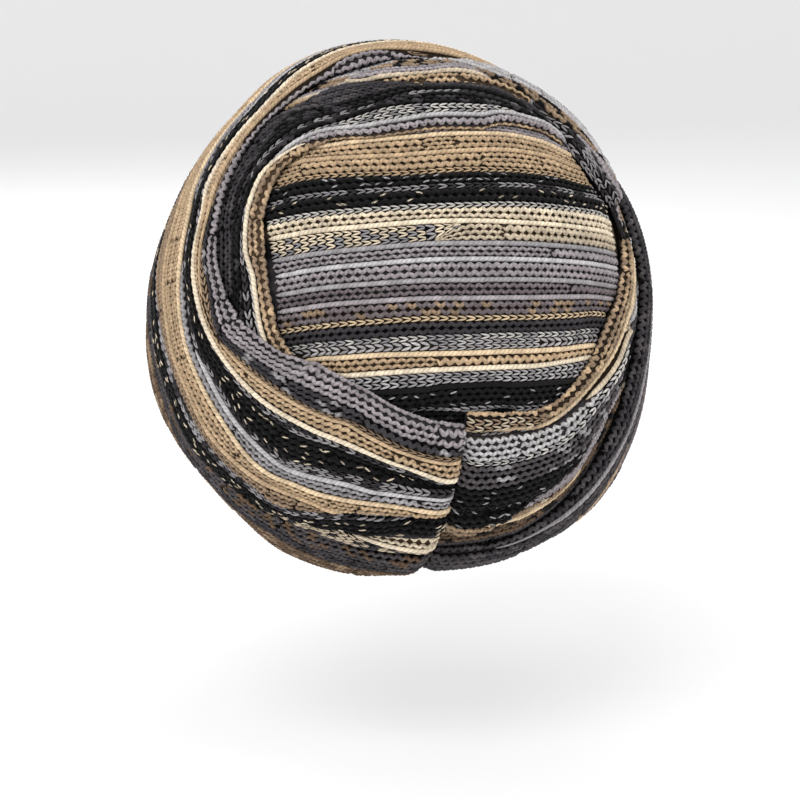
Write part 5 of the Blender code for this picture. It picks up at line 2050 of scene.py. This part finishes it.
@dataclass(frozen=True)
class Studio:
    """The floor, the lights and the camera."""

    turn: float = 17.0
    pitch: float = 10.0
    distance: float = 1.3
    target: tuple[float, float, float] = (-0.0015, 0.0, 0.0097)
    metres_per_pixel: float = 0.0004326
    picture: int = 800
    sensor: float = 36.0
    floor_level: float = -0.135
    world: float = 0.90

    def build(self) -> None:
        """Set up the camera, the floor and the lights."""
        turn, pitch = np.radians(self.turn), np.radians(self.pitch)
        back = Vector((np.sin(turn) * np.cos(pitch), np.cos(turn) * np.cos(pitch), np.sin(pitch)))
        camera = bpy.data.cameras.new("photo_camera")
        camera.sensor_width = self.sensor
        camera.lens = self.sensor * self.distance / (self.picture * self.metres_per_pixel)
        view = bpy.data.objects.new("photo_camera", camera)
        view.location = Vector(self.target) + self.distance * back
        view.rotation_euler = back.to_track_quat("Z", "Y").to_euler()
        bpy.context.scene.collection.objects.link(view)
        bpy.context.scene.camera = view
        self.floor()
        self.lamp("key_light", (1.1, 1.5, 1.6), 24.0, 1.3)
        self.lamp("fill_light", (-1.6, 1.1, 0.9), 8.0, 1.6)
        self.lamp("brow_light", (0.2, -1.7, 1.3), 14.0, 1.4)
        surround = bpy.data.worlds.new("studio")
        surround.use_nodes = True
        shade = surround.node_tree.nodes["Background"]
        shade.inputs["Color"].default_value = (0.97, 0.97, 0.98, 1.0)
        shade.inputs["Strength"].default_value = self.world
        bpy.context.scene.world = surround
        bpy.context.scene.view_settings.view_transform = "Standard"

    def floor(self, half: float = 9.0, back: float = -3.2, bend: float = 2.0) -> None:
        """Lay the pale floor below the part, turning up softly far behind it."""
        turn = np.linspace(0, np.pi / 2, 24)
        y = np.concatenate(((half,), back - bend * np.sin(turn), (back - bend,)))
        z = np.concatenate(((0.0,), bend * (1 - np.cos(turn)), (half,))) + self.floor_level
        left = np.stack((np.full(y.size, -half), y, z), axis=1)
        right = left * np.array((-1.0, 1.0, 1.0))
        k = np.arange(y.size - 1)
        quads = np.stack((k, k + 1, k + 1 + y.size, k + y.size), axis=1)
        made, _, _, shader = new_material("pale_floor", 0.9, 0.0)
        shader.inputs["Base Color"].default_value = (0.90, 0.90, 0.90, 1.0)
        mesh_from("floor", np.concatenate((left, right)), quads.ravel(),
                           np.full(len(quads), 4), made)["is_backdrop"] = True

    @staticmethod
    def lamp(name: str, spot: tuple[float, float, float], power: float, size: float) -> None:
        """Hang one square soft light that faces the part."""
        light = bpy.data.lights.new(name, "AREA")
        light.energy, light.size = power, size
        lamp = bpy.data.objects.new(name, light)
        lamp.location = spot
        lamp.rotation_euler = Vector(spot).to_track_quat("Z", "Y").to_euler()
        bpy.context.scene.collection.objects.link(lamp)


def wound_cloths() -> list[WoundCloth]:
    """Return the wraps and rolls from the top layer down."""
    top = ("left_outer_wrap", "right_lower_wrap")
    cap = ("crown_cap",)
    return [
        WoundCloth(Layer("left_outer_wrap", LEFT_OUTER, LEFT_CREASES, (), (True, False)),
                   LEFT_OUTER_CHART, "left_outer_knit", "folded",
                   ("crown_cap", "left_inner_wrap", "right_wrap"), 11),
        WoundCloth(Layer("right_lower_wrap", RIGHT_LOWER, LOWER_CREASES, (), (False, True)),
                   RIGHT_LOWER_CHART, "right_lower_knit", "folded",
                   ("crown_cap", "right_wrap"), 12, row_width=0.0031),
        WoundCloth(Layer("right_wrap", RIGHT_WRAP, RIGHT_CREASES, top, (False, True)),
                   RIGHT_WRAP_CHART, "right_knit", "folded", cap, 13),
        WoundCloth(Layer("left_inner_wrap", LEFT_INNER, (), top),
                   LEFT_INNER_CHART, "left_inner_knit", "folded", cap, 14),
        WoundCloth(Layer("left_roll", LEFT_ROLL, (), top),
                   LEFT_ROLL_CHART, "left_roll_knit", "folded", cap, 15, 1.25),
        WoundCloth(Layer("right_roll", RIGHT_ROLL, (), (), (False, True)),
                   RIGHT_ROLL_CHART, "right_roll_knit", "folded", cap, 16, 1.28),
        WoundCloth(Layer("nape_seam", NAPE_STRIP, (), (*top, "right_wrap")),
                   NAPE_CHART, "seam_knit", "gathered", cap, 17),
    ]


def main() -> None:
    """Build the headwrap and the studio."""
    logging.basicConfig(level=logging.INFO, format="%(message)s")
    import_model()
    Studio().build()
    finishes = Finishes.build()
    cloths = wound_cloths()
    pressing = Pressing(CapLayer(), [cloth.layer for cloth in cloths])
    KnitCap().build(pressing, finishes)
    for cloth in cloths:
        cloth.build(pressing, finishes)
    bpy.context.view_layer.update()
    triangles = sum(len(piece.data.loops) - 2 * len(piece.data.polygons)
                    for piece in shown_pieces() if piece.type == "MESH")
    LOG.info("all pieces: %d triangles", triangles)


if __name__ == "__main__":
    main()
